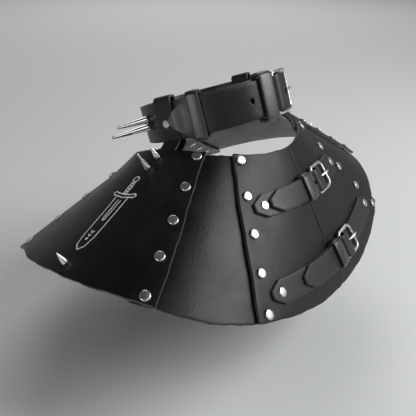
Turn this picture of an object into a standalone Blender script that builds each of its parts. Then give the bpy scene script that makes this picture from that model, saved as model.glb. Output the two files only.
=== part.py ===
"""Leather gorget: a riveted shoulder mantle with a buckled collar hung above it.

The wearer faces -Y and the wearer's left is +X. The origin is the middle of the
mantle's neck opening. Angles run round the neck from 0 at the front, through 90
at the wearer's left, to 180 at the back.
"""
import math

import bmesh
import bpy
from mathutils import Matrix, Vector

# Leather, clearances and the fineness of the faceted walls
PANEL_THICKNESS = 0.0028
STRAP_THICKNESS = 0.0024
COLLAR_THICKNESS = 0.0028
HANGER_THICKNESS = 0.0020
GAP = 0.0003
LAYER_GAP = 0.0007
WRAP_GAP = 0.0005
FACET_ANGLE = 5.0
PANEL_ROWS = 3
ROUND_SIDES = 8

# Neck edge of the mantle
NECK_HALF_WIDTH = 0.0800
NECK_HALF_DEPTH = 0.0694
NECK_FRONT_Z = -0.0240
NECK_SIDE_Z = 0.0099
NECK_BACK_Z = 0.0042

# Lower edge of the mantle
HEM_HALF_WIDTH = 0.1916
HEM_FRONT_Y = -0.1613
HEM_SIDE_Y = 0.0156
HEM_BACK_Y = 0.1355
HEM_FRONT_Z = -0.1031
HEM_SIDE_Z = -0.0491
HEM_BACK_Z = -0.1027
HEM_FULLNESS = 0.0062
HEM_DIP = 0.0022

# Seams: each runs straight from an angle on the neck edge to one on the hem
SEAM_ANGLES = {
    "front": (21.8, 46.3),
    "side": (113.7, 108.5),
    "back": (138.8, 146.1),
}
CLOSURE_HEM_ANGLE = 176.6
CLOSURE_GAP = 0.0008
MARGIN_NECK = 0.0064
MARGIN_HEM = 0.0100
# Point drawn out below the hem at each shoulder panel's front corner
CORNER_POINT = 0.0070
CORNER_REACH = 0.0300

# Rivets: a cap on each face and a shank between them
RIVETS_PER_SEAM = 5
RIVET_INSET = 0.0056
RIVET_CAP_RADIUS = 0.0040
RIVET_CAP_HEIGHT = 0.0016
RIVET_BACK_HEIGHT = 0.0008
RIVET_SHANK_RADIUS = 0.0015
# Back cap's radius and the top cap's outline, in shares of the top cap's size
RIVET_BACK_SHARE = 0.9
RIVET_CAP_OUTLINE = ((1.0, 0.0), (1.0, 0.4), (0.7, 1.0))

# Cone spikes, screwed on from behind
PANEL_SPIKE_RADIUS = 0.0029
COLLAR_SPIKE_RADIUS = 0.0033
PANEL_SPIKE_TIP = 0.0004
COLLAR_SPIKE_TIP = 0.0010
SPIKE_SHANK_RADIUS = 0.0014
SPIKE_SCREW_RADIUS = 0.0030
SPIKE_SCREW_HEIGHT = 0.0008
# Rows: side, share of the way down the panel, hem angle, length, holds the hanger
PANEL_SPIKES = (
    ("left", 0.075, 90.5, 0.0130, True),
    ("left", 0.170, 89.0, 0.0165, True),
    ("left", 0.925, 80.0, 0.0110, False),
    ("right", 0.075, 90.5, 0.0130, True),
    ("right", 0.170, 89.0, 0.0165, True),
    ("right", 0.925, 89.0, 0.0140, False),
)
# Rows: collar angle, height above the collar's middle, length
COLLAR_SPIKES = (
    (62.0, 0.0050, 0.0285),
    (66.0, -0.0010, 0.0375),
)

# Collar: one strap that goes once round the neck and on over its own start
COLLAR_CENTRE = Vector((0.0, -0.0055, 0.0257))
COLLAR_TILT = 19.5
COLLAR_LEAN = 1.5
COLLAR_INNER_RADIUS = 0.0606
COLLAR_WIDTH = 0.0315
COLLAR_BILLET_WIDTH = 0.0290
COLLAR_TIP_ANGLE = 91.0
COLLAR_TIP_LENGTH = 0.0185
COLLAR_TIP_SHARE = 0.16
COLLAR_FACET_ANGLE = 6.0
COLLAR_HOLE_RADIUS = 0.0021
COLLAR_HOLE_ANGLES = (151.5, 184.5)
COLLAR_KEEPER_THICKNESS = 0.0024
COLLAR_KEEPER_GAP = 0.0015
# Keepers: collar angle and width
COLLAR_KEEPERS = {"sliding": (112.0, 0.0105), "fixed": (165.0, 0.0135)}
# Degrees of collar over which its outer turn lies flat past the prong, is lifted
# before, over and after the fold, and is lifted over the hanger, then those over which
# its tip is rounded and over which it narrows to the billet's width, before the front
# bar and from the heel bar
PRONG_FLAT_ANGLE = 6.0
FOLD_LIFT_ANGLE = 8.0
FOLD_HALF_ANGLE = 2.5
FOLD_DROP_ANGLE = 6.0
HANGER_LIFT_ANGLE = 16.0
HANGER_HALF_ANGLE = 8.5
TIP_CURVE_ANGLE = 2.0
TAPER_START_ANGLE = 40.0
TAPER_END_ANGLE = 10.0
HEEL_TAPER_ANGLES = (5.0, 14.0)

# Buckles: heel bar under the strap end, front bar over it
COLLAR_WIRE = 0.0016
COLLAR_HEEL_ANGLE = 178.0
COLLAR_FRONT_ANGLE = 206.0
COLLAR_CROSS_ANGLE = 193.5
CLOSURE_WIRE = 0.0014
CLOSURE_BUCKLE_LENGTH = 0.0220
CLOSURE_CROSS = 0.0120
FOLD_THICKNESS = 0.0011
FRAME_CLEARANCE = 0.0006
FRAME_CORNER = 0.0045
FRAME_CORNER_SHARE = 0.3
PRONG_SHARE = 0.75
PRONG_SLOT_CLEARANCE = 0.0005
PRONG_HOLE_LENGTH = 0.0100
# Prong's way through the strap: half of it as a share of the hole, its drop below the
# heel bar's middle in wires, its share of the rise past the strap, and half of its rest
# on the front bar as a share of the two wires
PRONG_PASS_SHARE = 0.3
PRONG_DROP = 0.2
PRONG_RISE_SHARE = 0.6
PRONG_REST_SHARE = 0.8

# Hangers: a strip folded over the collar, its two ends under the mantle
HANGER_ANGLE = 87.0
HANGER_HEM_ANGLE = 90.0
HANGER_WIDTH = 0.0175
HANGER_TAB = 0.0290
HANGER_OUTSIDE_GAP = 0.0006
HANGER_INSIDE_GAP = 0.0018
HANGER_TAB_GAP = 0.0015
HANGER_TAB_START = 0.0045
HANGER_LEG_SPREAD = 0.0045
HANGER_STEPS = 4
# Heights at which its path follows the collar, in shares of the collar's half width
HANGER_HEIGHTS = (-0.4, 0.3, 0.9)
HANGER_FOLD_SHARE = 0.7

# Closure straps across the back
CLOSURE_WIDTH = 0.0190
CLOSURE_END = 0.0100
CLOSURE_CHAMFER = 0.0118
CLOSURE_END_SHARE = 0.34
CLOSURE_KEEPER_WIDTH = 0.0130
CLOSURE_KEEPER_THICKNESS = 0.0018
CLOSURE_KEEPER_BITE = 0.0004
CLOSURE_STEP = 0.0060
# Billet's lift over the fold: half its width in fold heights, the length of its rise
# and the distance from the prong to where the billet lies flat
LIFT_HALF_SHARE = 1.2
LIFT_LENGTH = 0.0042
PRONG_FLAT_LENGTH = 0.0040
# Rows: name, left rivet, right rivet (hem angle, share down the panel), sag of the
# middle, then distances from the left rivet to the strap tip, keeper and heel bar
CLOSURES = (
    ("upper", (152.5, 0.335), (207.0, 0.368), -0.050, 0.0060, 0.0580, 0.0760),
    ("lower", (151.5, 0.848), (208.0, 0.828), -0.040, 0.0290, 0.0900, 0.1040),
)

# Colours, roughness and metallic value of each finish
FINISHES = {
    "black_leather": ((0.018, 0.018, 0.019), 0.50, 0.0),
    "strap_leather": ((0.022, 0.022, 0.022), 0.45, 0.0),
    "nickel": ((0.72, 0.71, 0.69), 0.25, 1.0),
    "chrome": ((0.80, 0.80, 0.80), 0.12, 1.0),
}


def clear_objects():
    """Empty the scene of objects."""
    for item in list(bpy.data.objects):
        bpy.data.objects.remove(item, do_unlink=True)


def make_finishes():
    """Make one Principled material for each finish."""
    made = {}
    for name, (colour, roughness, metallic) in FINISHES.items():
        material = bpy.data.materials.new(name)
        material.use_nodes = True
        shader = material.node_tree.nodes["Principled BSDF"]
        shader.inputs["Base Color"].default_value = (*colour, 1.0)
        shader.inputs["Roughness"].default_value = roughness
        shader.inputs["Metallic"].default_value = metallic
        material.diffuse_color = (*colour, 1.0)
        made[name] = material
    return made


def blend(a, b, share):
    """Value a share of the way from a to b."""
    return a + (b - a) * share


def table_value(x, rows):
    """Value at x in rows of (x, value), eased from row to row."""
    if x <= rows[0][0]:
        return rows[0][1]
    for (x0, y0), (x1, y1) in zip(rows, rows[1:]):
        if x <= x1:
            share = (x - x0) / (x1 - x0)
            return blend(y0, y1, share * share * (3.0 - 2.0 * share))
    return rows[-1][1]


# Mantle surface

def by_side(front, side, back, angle):
    """Smooth value round the neck that meets its front, side and back values."""
    turn = math.radians(angle)
    middle = (front + back) / 2.0
    return ((middle + side) / 2.0 + (front - back) / 2.0 * math.cos(turn)
            + (middle - side) / 2.0 * math.cos(2.0 * turn))


def neck_point(angle):
    """Point of the mantle's neck edge."""
    turn = math.radians(angle)
    height = by_side(NECK_FRONT_Z, NECK_SIDE_Z, NECK_BACK_Z, angle)
    return Vector((NECK_HALF_WIDTH * math.sin(turn), -NECK_HALF_DEPTH * math.cos(turn), height))


def hem_point(angle):
    """Point of the mantle's lower edge."""
    turn = math.radians(angle)
    fullness = HEM_FULLNESS * (math.sin(turn) + math.sin(3.0 * turn))
    dip = HEM_DIP * (math.cos(3.0 * turn) - math.cos(turn))
    return Vector((
        HEM_HALF_WIDTH * math.sin(turn) + fullness,
        by_side(HEM_FRONT_Y, HEM_SIDE_Y, HEM_BACK_Y, angle),
        by_side(HEM_FRONT_Z, HEM_SIDE_Z, HEM_BACK_Z, angle) + dip,
    ))


def seam_knots():
    """Pairs of hem angle and neck angle that the rulings pass through."""
    left = [(0.0, 0.0)]
    left += [(hem, neck) for neck, hem in SEAM_ANGLES.values()]
    right = [(360.0 - hem, 360.0 - neck) for hem, neck in reversed(left)]
    ring = left + [(CLOSURE_HEM_ANGLE, 180.0)] + right
    before = [(hem - 360.0, neck - 360.0) for hem, neck in ring[-3:-1]]
    after = [(hem + 360.0, neck + 360.0) for hem, neck in ring[1:3]]
    return before + ring + after


KNOTS = seam_knots()


def neck_angle(hem_angle):
    """Neck angle that the ruling from a hem angle runs to."""
    turns = math.floor(hem_angle / 360.0) * 360.0
    x = hem_angle - turns
    for i in range(1, len(KNOTS) - 2):
        if KNOTS[i][0] <= x <= KNOTS[i + 1][0]:
            break
    (xa, ya), (x0, y0), (x1, y1), (xb, yb) = KNOTS[i - 1:i + 3]
    width = x1 - x0
    slope0 = (y1 - ya) / (x1 - xa) * width
    slope1 = (yb - y0) / (xb - x0) * width
    t = (x - x0) / width
    value = ((2.0 * t ** 3 - 3.0 * t ** 2 + 1.0) * y0 + (t ** 3 - 2.0 * t ** 2 + t) * slope0
             + (3.0 * t ** 2 - 2.0 * t ** 3) * y1 + (t ** 3 - t ** 2) * slope1)
    return value + turns


def surface_point(angle, down):
    """Point of the mantle's outer face: hem angle and share of the way down."""
    return neck_point(neck_angle(angle)).lerp(hem_point(angle), down)


def surface_axes(angle, down):
    """Unit vectors round and down the surface, and its outward normal."""
    step = 0.05
    around = surface_point(angle + step, down) - surface_point(angle - step, down)
    downward = surface_point(angle, 1.0) - surface_point(angle, 0.0)
    normal = downward.cross(around).normalized()
    return around.normalized(), downward.normalized(), normal


def offset_point(angle, down, offset):
    """Point at a distance out from the mantle's outer face."""
    return surface_point(angle, down) + surface_axes(angle, down)[2] * offset


def angle_margin(angle, down, margin):
    """Hem angle that a distance along the surface takes up."""
    step = 0.5
    around = surface_point(angle + step, down) - surface_point(angle - step, down)
    return margin / around.length * 2.0 * step


# Mesh helpers

def add_object(name, mesh_data, material):
    """Put a mesh in the scene as a named object."""
    item = bpy.data.objects.new(name, mesh_data)
    bpy.context.scene.collection.objects.link(item)
    if material is not None and not mesh_data.materials:
        mesh_data.materials.append(material)
    return item


def mesh_from(bm, name, smooth_angle=35.0):
    """Turn a bmesh into mesh data with its faces out and its round parts smooth."""
    bmesh.ops.recalc_face_normals(bm, faces=bm.faces)
    data = bpy.data.meshes.new(name)
    bm.to_mesh(data)
    bm.free()
    data.shade_smooth()
    data.set_sharp_from_angle(angle=math.radians(smooth_angle))
    return data


def add_loft(bm, sections, closed=False):
    """Skin closed loops of points in order, with caps unless the row is a ring."""
    loops = [[bm.verts.new(point) for point in section] for section in sections]
    pairs = list(zip(loops, loops[1:]))
    if closed:
        pairs.append((loops[-1], loops[0]))
    for first, second in pairs:
        count = len(first)
        for i in range(count):
            j = (i + 1) % count
            bm.faces.new((first[i], first[j], second[j], second[i]))
    if not closed:
        bm.faces.new(loops[0])
        bm.faces.new(loops[-1])


def add_tube(bm, points, radius, sides, up, closed=False):
    """Round bar along points; up is any direction that is never along the bar."""
    sections = []
    count = len(points)
    for i, point in enumerate(points):
        before = points[i - 1] if closed or i else points[i]
        after = points[(i + 1) % count] if closed or i < count - 1 else points[i]
        along = (after - before).normalized()
        side = along.cross(up).normalized()
        top = side.cross(along)
        mitre = 1.0
        if (closed or 0 < i < count - 1) and (point - before).length > 0.0:
            mitre = 1.0 / max(0.5, abs(along.dot((point - before).normalized())))
        ring = []
        for k in range(sides):
            turn = 2.0 * math.pi * (k + 0.5) / sides
            ring.append(point + side * (radius * mitre * math.cos(turn))
                        + top * (radius * math.sin(turn)))
        sections.append(ring)
    add_loft(bm, sections, closed)


def add_turned(bm, profile, sides=ROUND_SIDES):
    """Body turned round Z from (radius, height) points that end on the axis."""
    verts = [bm.verts.new((radius, 0.0, height)) for radius, height in profile]
    edges = [bm.edges.new(pair) for pair in zip(verts, verts[1:])]
    bmesh.ops.spin(bm, geom=verts + edges, cent=(0.0, 0.0, 0.0), axis=(0.0, 0.0, 1.0),
                   angle=2.0 * math.pi, steps=sides, use_merge=False)
    bmesh.ops.remove_doubles(bm, verts=bm.verts, dist=1e-6)


def frame_matrix(origin, along, normal):
    """Matrix with X along, Z out along the normal and its place at the origin."""
    z_axis = normal.normalized()
    y_axis = z_axis.cross(along).normalized()
    x_axis = y_axis.cross(z_axis)
    matrix = Matrix((x_axis, y_axis, z_axis)).transposed().to_4x4()
    matrix.translation = origin
    return matrix


def add_pin(bm, matrix, radius, low, high):
    """Round cutter along a frame's Z from one height to another."""
    place = matrix @ Matrix.Translation((0.0, 0.0, (low + high) / 2.0))
    bmesh.ops.create_cone(bm, cap_ends=True, segments=ROUND_SIDES, radius1=radius,
                          radius2=radius, depth=high - low, matrix=place)


def add_box(bm, matrix, low, high):
    """Box between two corners of a frame."""
    size = [b - a for a, b in zip(low, high)]
    middle = [(a + b) / 2.0 for a, b in zip(low, high)]
    place = matrix @ Matrix.Translation(middle) @ Matrix.Diagonal((*size, 1.0))
    bmesh.ops.create_cube(bm, size=1.0, matrix=place)


def combine(target, bm, operation, label):
    """Join a helper body to an object, or cut it out of the object."""
    helper = add_object(target.name + "_" + label, mesh_from(bm, label), None)
    helper.hide_render = True
    helper.display_type = "WIRE"
    modifier = target.modifiers.new(label, "BOOLEAN")
    modifier.operation = operation
    modifier.solver = "EXACT"
    modifier.object = helper


# Mantle panels

def edge_angles(seam, side, margin_sign):
    """Hem angles at the neck and hem ends of a panel edge, past a seam."""
    if seam == "closure":
        ends = (CLOSURE_HEM_ANGLE, CLOSURE_HEM_ANGLE)
        margins = (CLOSURE_GAP / 2.0, CLOSURE_GAP / 2.0)
    else:
        hem = SEAM_ANGLES[seam][1]
        ends = (hem, hem) if side > 0 else (360.0 - hem, 360.0 - hem)
        margins = (MARGIN_NECK, MARGIN_HEM)
    return tuple(end + margin_sign * angle_margin(end, down, margin)
                 for end, down, margin in zip(ends, (0.0, 1.0), margins))


def corner_share(angle, corner):
    """Share of the panel's length that its hem is drawn out by, beside a corner."""
    reach = angle_margin(corner, 1.0, CORNER_REACH)
    nearness = max(0.0, 1.0 - abs(angle - corner) / reach)
    length = (surface_point(corner, 1.0) - surface_point(corner, 0.0)).length
    return CORNER_POINT / length * nearness ** 2


def build_panel(name, start, end, upper, corner, material):
    """Curved leather panel between two edges of (neck end, hem end) hem angles."""
    top_offset = 0.0 if upper else -(PANEL_THICKNESS + LAYER_GAP)
    span = max(end[0] - start[0], end[1] - start[1])
    columns = max(4, round(span / FACET_ANGLE))
    bm = bmesh.new()
    bmesh.ops.create_grid(bm, x_segments=columns, y_segments=PANEL_ROWS, size=0.5)
    for vert in bm.verts:
        across = vert.co.x + 0.5
        down = vert.co.y + 0.5
        angle = blend(blend(start[0], start[1], down), blend(end[0], end[1], down), across)
        if corner is not None:
            down *= 1.0 + corner_share(angle, corner)
        vert.co = offset_point(angle, down, top_offset)
    data = mesh_from(bm, name)
    first = data.polygons[0]
    outward = surface_axes((start[1] + end[1]) / 2.0, 0.5)[2]
    if first.normal.dot(outward) < 0.0:
        data.flip_normals()
    panel = add_object(name, data, material)
    wall = panel.modifiers.new("thickness", "SOLIDIFY")
    wall.thickness = PANEL_THICKNESS
    wall.offset = -1.0
    wall.use_even_offset = True
    return panel


def panel_rows():
    """Name, edges, layer and drawn-out corner's hem angle of each panel."""
    start = tuple(angle - 360.0 for angle in edge_angles("front", -1, -1))
    rows = [("panel_front", start, edge_angles("front", 1, 1), False, None)]
    left = (
        ("shoulder", ("front", -1), ("side", 1), True),
        ("side", ("side", -1), ("back", 1), False),
        ("back", ("back", -1), ("closure", -1), True),
    )
    for label, (first, grow0), (last, grow1), upper in left:
        start, end = edge_angles(first, 1, grow0), edge_angles(last, 1, grow1)
        corner = start[1] if label == "shoulder" else None
        rows.append(("panel_" + label + "_left", start, end, upper, corner))
        start, end = edge_angles(last, -1, -grow1), edge_angles(first, -1, -grow0)
        corner = end[1] if label == "shoulder" else None
        rows.append(("panel_" + label + "_right", start, end, upper, corner))
    return rows


def rivet_shares():
    """Shares of the way down a seam where its rivets sit."""
    return [i / (RIVETS_PER_SEAM - 1) for i in range(RIVETS_PER_SEAM)]


def rivet_places():
    """Name and frame of each seam rivet, with the panel kinds that it joins."""
    places = []
    for seam, (neck, hem) in SEAM_ANGLES.items():
        for side, sign in (("left", 1), ("right", -1)):
            angle = hem if sign > 0 else 360.0 - hem
            length = (hem_point(angle) - neck_point(neck_angle(angle))).length
            inset = RIVET_INSET / length
            for i, share in enumerate(rivet_shares()):
                down = blend(inset, 1.0 - inset, share)
                along, _, normal = surface_axes(angle, down)
                matrix = frame_matrix(surface_point(angle, down), along, normal)
                places.append(("rivet_%s_%s_%d" % (seam, side, i + 1), seam, side, matrix))
    return places


def rivet_mesh():
    """Double cap rivet whose top cap sits on the outer face at height 0."""
    under = GAP
    grip = -(2.0 * PANEL_THICKNESS + LAYER_GAP) - GAP
    back = RIVET_CAP_RADIUS * RIVET_BACK_SHARE
    cap = [(RIVET_CAP_RADIUS * out, under + RIVET_CAP_HEIGHT * up)
           for out, up in RIVET_CAP_OUTLINE]
    bm = bmesh.new()
    add_turned(bm, (
        (0.0, grip - RIVET_BACK_HEIGHT),
        (back, grip - RIVET_BACK_HEIGHT),
        (back, grip),
        (RIVET_SHANK_RADIUS, grip),
        (RIVET_SHANK_RADIUS, under),
        *cap,
        (0.0, under + RIVET_CAP_HEIGHT),
    ))
    return mesh_from(bm, "rivet")


def spike_mesh(name, radius, tip, length, wall):
    """Cone spike on a wall's outer face at height 0, with its screw behind."""
    back = -wall - GAP
    bm = bmesh.new()
    add_turned(bm, (
        (0.0, back - SPIKE_SCREW_HEIGHT),
        (SPIKE_SCREW_RADIUS, back - SPIKE_SCREW_HEIGHT),
        (SPIKE_SCREW_RADIUS, back),
        (SPIKE_SHANK_RADIUS, back),
        (SPIKE_SHANK_RADIUS, GAP),
        (radius, GAP),
        (tip, GAP + length),
        (0.0, GAP + length),
    ))
    return mesh_from(bm, name)


def panel_spike_places():
    """Name, side, frame and length of each shoulder spike; true if it holds a hanger."""
    places = []
    counts = {"left": 0, "right": 0}
    for side, down, hem, length, held in PANEL_SPIKES:
        counts[side] += 1
        angle = hem if side == "left" else 360.0 - hem
        along, _, normal = surface_axes(angle, down)
        matrix = frame_matrix(surface_point(angle, down), along, normal)
        places.append(("spike_%s_%d" % (side, counts[side]), side, matrix, length, held))
    return places


def build_mantle(finishes):
    """Panels with their rivet and spike holes, and the rivets and spikes."""
    panels = {}
    for name, *shape in panel_rows():
        panels[name] = build_panel(name, *shape, finishes["black_leather"])
    cutters = {name: bmesh.new() for name in panels}
    neighbours = {
        "front": ("panel_front", "panel_shoulder_%s"),
        "side": ("panel_shoulder_%s", "panel_side_%s"),
        "back": ("panel_side_%s", "panel_back_%s"),
    }
    reach = 3.0 * PANEL_THICKNESS
    rivet_data = rivet_mesh()
    for name, seam, side, matrix in rivet_places():
        add_object(name, rivet_data, finishes["nickel"]).matrix_world = matrix
        for pattern in neighbours[seam]:
            target = pattern if pattern == "panel_front" else pattern % side
            add_pin(cutters[target], matrix, RIVET_SHANK_RADIUS + GAP, -reach, reach)
    for name, side, matrix, length, held in panel_spike_places():
        wall = hanger_depth(1) + HANGER_THICKNESS / 2.0 if held else PANEL_THICKNESS
        data = spike_mesh(name, PANEL_SPIKE_RADIUS, PANEL_SPIKE_TIP, length, wall)
        add_object(name, data, finishes["chrome"]).matrix_world = matrix
        cutter = cutters["panel_shoulder_" + side]
        add_pin(cutter, matrix, SPIKE_SHANK_RADIUS + GAP, -reach, reach)
    for name, bm in cutters.items():
        combine(panels[name], bm, "DIFFERENCE", "holes")


# Straps: a route gives the place at a distance along, out from and across a strap

def collar_matrix():
    """Place and lean of the collar's ring."""
    tilt = Matrix.Rotation(math.radians(COLLAR_TILT), 4, "X")
    lean = Matrix.Rotation(math.radians(-COLLAR_LEAN), 4, "Y")
    return Matrix.Translation(COLLAR_CENTRE) @ lean @ tilt


COLLAR_MATRIX = collar_matrix()


def collar_place(distance, out, across):
    """Point of the collar; the distance is measured on its inner face from the front."""
    turn = distance / COLLAR_INNER_RADIUS
    radius = COLLAR_INNER_RADIUS + out
    return COLLAR_MATRIX @ Vector((radius * math.sin(turn), -radius * math.cos(turn), across))


def collar_distance(angle):
    """Distance along the collar's inner face to an angle."""
    return math.radians(angle) * COLLAR_INNER_RADIUS


def closure_route(left, right, sag):
    """Place function of a closure strap, and the distance between its rivets."""
    steps = 60

    def on_surface(share):
        angle = blend(left[0], right[0], share)
        down = blend(left[1], right[1], share) + sag * 4.0 * share * (1.0 - share)
        return angle, down

    lengths = [0.0]
    for i in range(steps):
        a = surface_point(*on_surface(i / steps))
        b = surface_point(*on_surface((i + 1) / steps))
        lengths.append(lengths[-1] + (b - a).length)
    total = lengths[-1]

    def share_at(distance):
        if distance <= 0.0 or distance >= total:
            return distance / total
        for i in range(steps):
            if distance <= lengths[i + 1]:
                step = (distance - lengths[i]) / (lengths[i + 1] - lengths[i])
                return (i + step) / steps
        return 1.0

    def place(distance, out, across):
        share = share_at(distance)
        angle, down = on_surface(share)
        normal = surface_axes(angle, down)[2]
        small = 0.002
        along = (surface_point(*on_surface(share + small))
                 - surface_point(*on_surface(share - small))).normalized()
        side = along.cross(normal).normalized()
        return surface_point(angle, down) + normal * out - side * across

    return place, total


def route_frame(place, distance):
    """Frame on a route: X along it, Y across it and Z out from it."""
    small = 0.0005
    origin = place(distance, 0.0, 0.0)
    along = place(distance + small, 0.0, 0.0) - place(distance - small, 0.0, 0.0)
    return frame_matrix(origin, along, place(distance, 1.0, 0.0) - origin)


def add_ribbon(bm, place, stations, thickness):
    """Flat strap through stations of (distance, out, half width)."""
    sections = []
    for distance, out, half in stations:
        sections.append((
            place(distance, out, -half),
            place(distance, out, half),
            place(distance, out + thickness, half),
            place(distance, out + thickness, -half),
        ))
    add_loft(bm, sections)


def add_keeper(bm, place, distance, width, half_width, low, high, thickness, side_gap):
    """Square loop round everything between two heights of a strap."""
    matrix = route_frame(place, distance)
    inner = half_width + side_gap
    outer = inner + thickness
    sections = []
    for x in (-width / 2.0, width / 2.0):
        sections.append([(x, outer, low - thickness), (x, outer, high + thickness),
                         (x, -outer, high + thickness), (x, -outer, low - thickness)])
        sections.append([(x, inner, low), (x, inner, high),
                         (x, -inner, high), (x, -inner, low)])
    outer_low, inner_low, outer_high, inner_high = sections
    ring = [outer_low, outer_high, inner_high, inner_low]
    add_loft(bm, [[matrix @ Vector(point) for point in loop] for loop in ring], closed=True)


def frame_outline(place, heel, front, half_height, heel_corner, front_corner):
    """Centre line of a buckle frame from its heel bar to its front bar."""
    (s0, out0), (s1, out1) = heel, front
    length = s1 - s0

    def point(inset_along, inset_across, sign, end):
        along = inset_along / length if end == "heel" else 1.0 - inset_along / length
        across = sign * (half_height - inset_across)
        return place(blend(s0, s1, along), blend(out0, out1, along), across)

    line = []
    for sign in (1.0, -1.0):
        row = []
        for end, corner in (("heel", heel_corner), ("front", front_corner)):
            middle = corner * FRAME_CORNER_SHARE
            turns = [(0.0, corner), (middle, middle), (corner, 0.0)]
            if end == "front":
                turns.reverse()
            row += [point(along, across, sign, end) for along, across in turns]
        if sign < 0.0:
            row.reverse()
        line += row
    return line


def build_buckle(name, place, heel, front, half_width, wire, cross, material):
    """Wire frame with its prong closed over the front bar, as one body."""
    bm = bmesh.new()
    half_height = half_width + FRAME_CLEARANCE + wire
    line = frame_outline(place, heel, front, half_height, FRAME_CLEARANCE + wire, FRAME_CORNER)
    up = route_frame(place, (heel[0] + front[0]) / 2.0).col[2].to_3d()
    add_tube(bm, line, wire, 6, up, closed=True)
    buckle = add_object(name, mesh_from(bm, name), material)
    prong = wire * PRONG_SHARE
    over = front[1] + wire + GAP + prong
    bm = bmesh.new()
    rest = (wire + prong) * PRONG_REST_SHARE
    pass_length = PRONG_HOLE_LENGTH * PRONG_PASS_SHARE
    route = (
        (heel[0], heel[1]),
        (cross - pass_length, heel[1] - wire * PRONG_DROP),
        (cross + pass_length, blend(heel[1], over, PRONG_RISE_SHARE)),
        (front[0] - rest, over),
        (front[0] + rest, over),
    )
    points = [place(s, out, 0.0) for s, out in route]
    across = route_frame(place, front[0]).col[1].to_3d()
    add_tube(bm, points, prong, 6, across)
    combine(buckle, bm, "UNION", "prong")
    return buckle


def bar_frame(place, heel):
    """Frame whose Z runs along a heel bar, turned so that a flat faces down."""
    matrix = route_frame(place, heel[0]) @ Matrix.Translation((0.0, 0.0, heel[1]))
    flat = Matrix.Rotation(math.pi / ROUND_SIDES, 4, "Z")
    return matrix @ Matrix.Rotation(math.pi / 2.0, 4, "X") @ flat


def add_fold(bm, place, heel, half_width, radius):
    """Round end of a strap that is folded about a heel bar."""
    inset = half_width - GAP
    add_pin(bm, bar_frame(place, heel), radius, -inset, inset)


def cut_fold(target, place, heel, half_width, wire, radius):
    """Cut the way for the heel bar, and the slot for the prong."""
    bm = bmesh.new()
    add_pin(bm, bar_frame(place, heel), wire + GAP, -half_width - wire, half_width + wire)
    combine(target, bm, "DIFFERENCE", "bar_way")
    bm = bmesh.new()
    slot = wire * PRONG_SHARE + PRONG_SLOT_CLEARANCE
    reach = radius + wire
    add_box(bm, route_frame(place, heel[0]), (-reach, -slot, -wire),
            (reach, slot, heel[1] + radius + GAP / 2.0))
    combine(target, bm, "DIFFERENCE", "prong_slot")


def heel_level(wire):
    """Height of a heel bar's middle above the face that its fold lies on."""
    return wire + GAP + FOLD_THICKNESS


# Collar

def billet_half(width, tip_distance, distance, tip_length):
    """Half width of a strap with a rounded point at its tip."""
    share = min(1.0, abs(distance - tip_distance) / tip_length)
    return width / 2.0 * blend(COLLAR_TIP_SHARE, 1.0, math.sin(share * math.pi / 2.0))


def collar_stations():
    """Stations of the collar strap, from its folded end to its tip."""
    second = COLLAR_THICKNESS + WRAP_GAP
    over_fold = 2.0 * heel_level(COLLAR_WIRE) + WRAP_GAP
    flat_rise = HANGER_WIDTH ** 2 / (8.0 * COLLAR_INNER_RADIUS)
    over_hanger = second + HANGER_THICKNESS + HANGER_OUTSIDE_GAP + flat_rise
    turn_end = COLLAR_TIP_ANGLE - 360.0
    at_heel = 360.0 - COLLAR_HEEL_ANGLE
    at_front = 360.0 - COLLAR_FRONT_ANGLE
    at_hanger = 360.0 - HANGER_ANGLE
    lifts = (
        (360.0 - COLLAR_CROSS_ANGLE - PRONG_FLAT_ANGLE, 0.0),
        (at_heel - FOLD_LIFT_ANGLE, over_fold),
        (at_heel + FOLD_HALF_ANGLE, over_fold),
        (at_heel + FOLD_DROP_ANGLE, second),
        (at_hanger - HANGER_LIFT_ANGLE, second),
        (at_hanger - HANGER_HALF_ANGLE, over_hanger),
    )
    widths = (
        (HEEL_TAPER_ANGLES[0] - COLLAR_HEEL_ANGLE, COLLAR_BILLET_WIDTH),
        (HEEL_TAPER_ANGLES[1] - COLLAR_HEEL_ANGLE, COLLAR_WIDTH),
        (at_front - TAPER_START_ANGLE, COLLAR_WIDTH),
        (at_front - TAPER_END_ANGLE, COLLAR_BILLET_WIDTH),
    )
    count = round((COLLAR_HEEL_ANGLE - turn_end) / COLLAR_FACET_ANGLE)
    angles = [blend(COLLAR_HEEL_ANGLE, turn_end, i / count) for i in range(count + 1)]
    angles += [turn_end + TIP_CURVE_ANGLE, FOLD_HALF_ANGLE - at_heel,
               -FOLD_HALF_ANGLE - at_heel, HANGER_HALF_ANGLE - at_hanger]
    tip = collar_distance(turn_end)
    stations = []
    for angle in sorted(set(angles), reverse=True):
        distance = collar_distance(angle)
        out = table_value(-angle, lifts)
        width = table_value(-angle, widths)
        half = billet_half(width, tip, distance, COLLAR_TIP_LENGTH)
        stations.append((distance, out, half))
    return stations


def collar_spike_places():
    """Name and frame of each spike on the collar, with its length."""
    places = []
    for side, sign in (("left", 1.0), ("right", -1.0)):
        for i, (angle, height, length) in enumerate(COLLAR_SPIKES):
            distance = collar_distance(sign * angle)
            origin = collar_place(distance, COLLAR_THICKNESS, height)
            outward = origin - collar_place(distance, 0.0, height)
            along = collar_place(distance, COLLAR_THICKNESS, height + 0.001) - origin
            matrix = frame_matrix(origin, along, outward)
            places.append(("collar_spike_%s_%d" % (side, i + 1), matrix, length))
    return places


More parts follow.
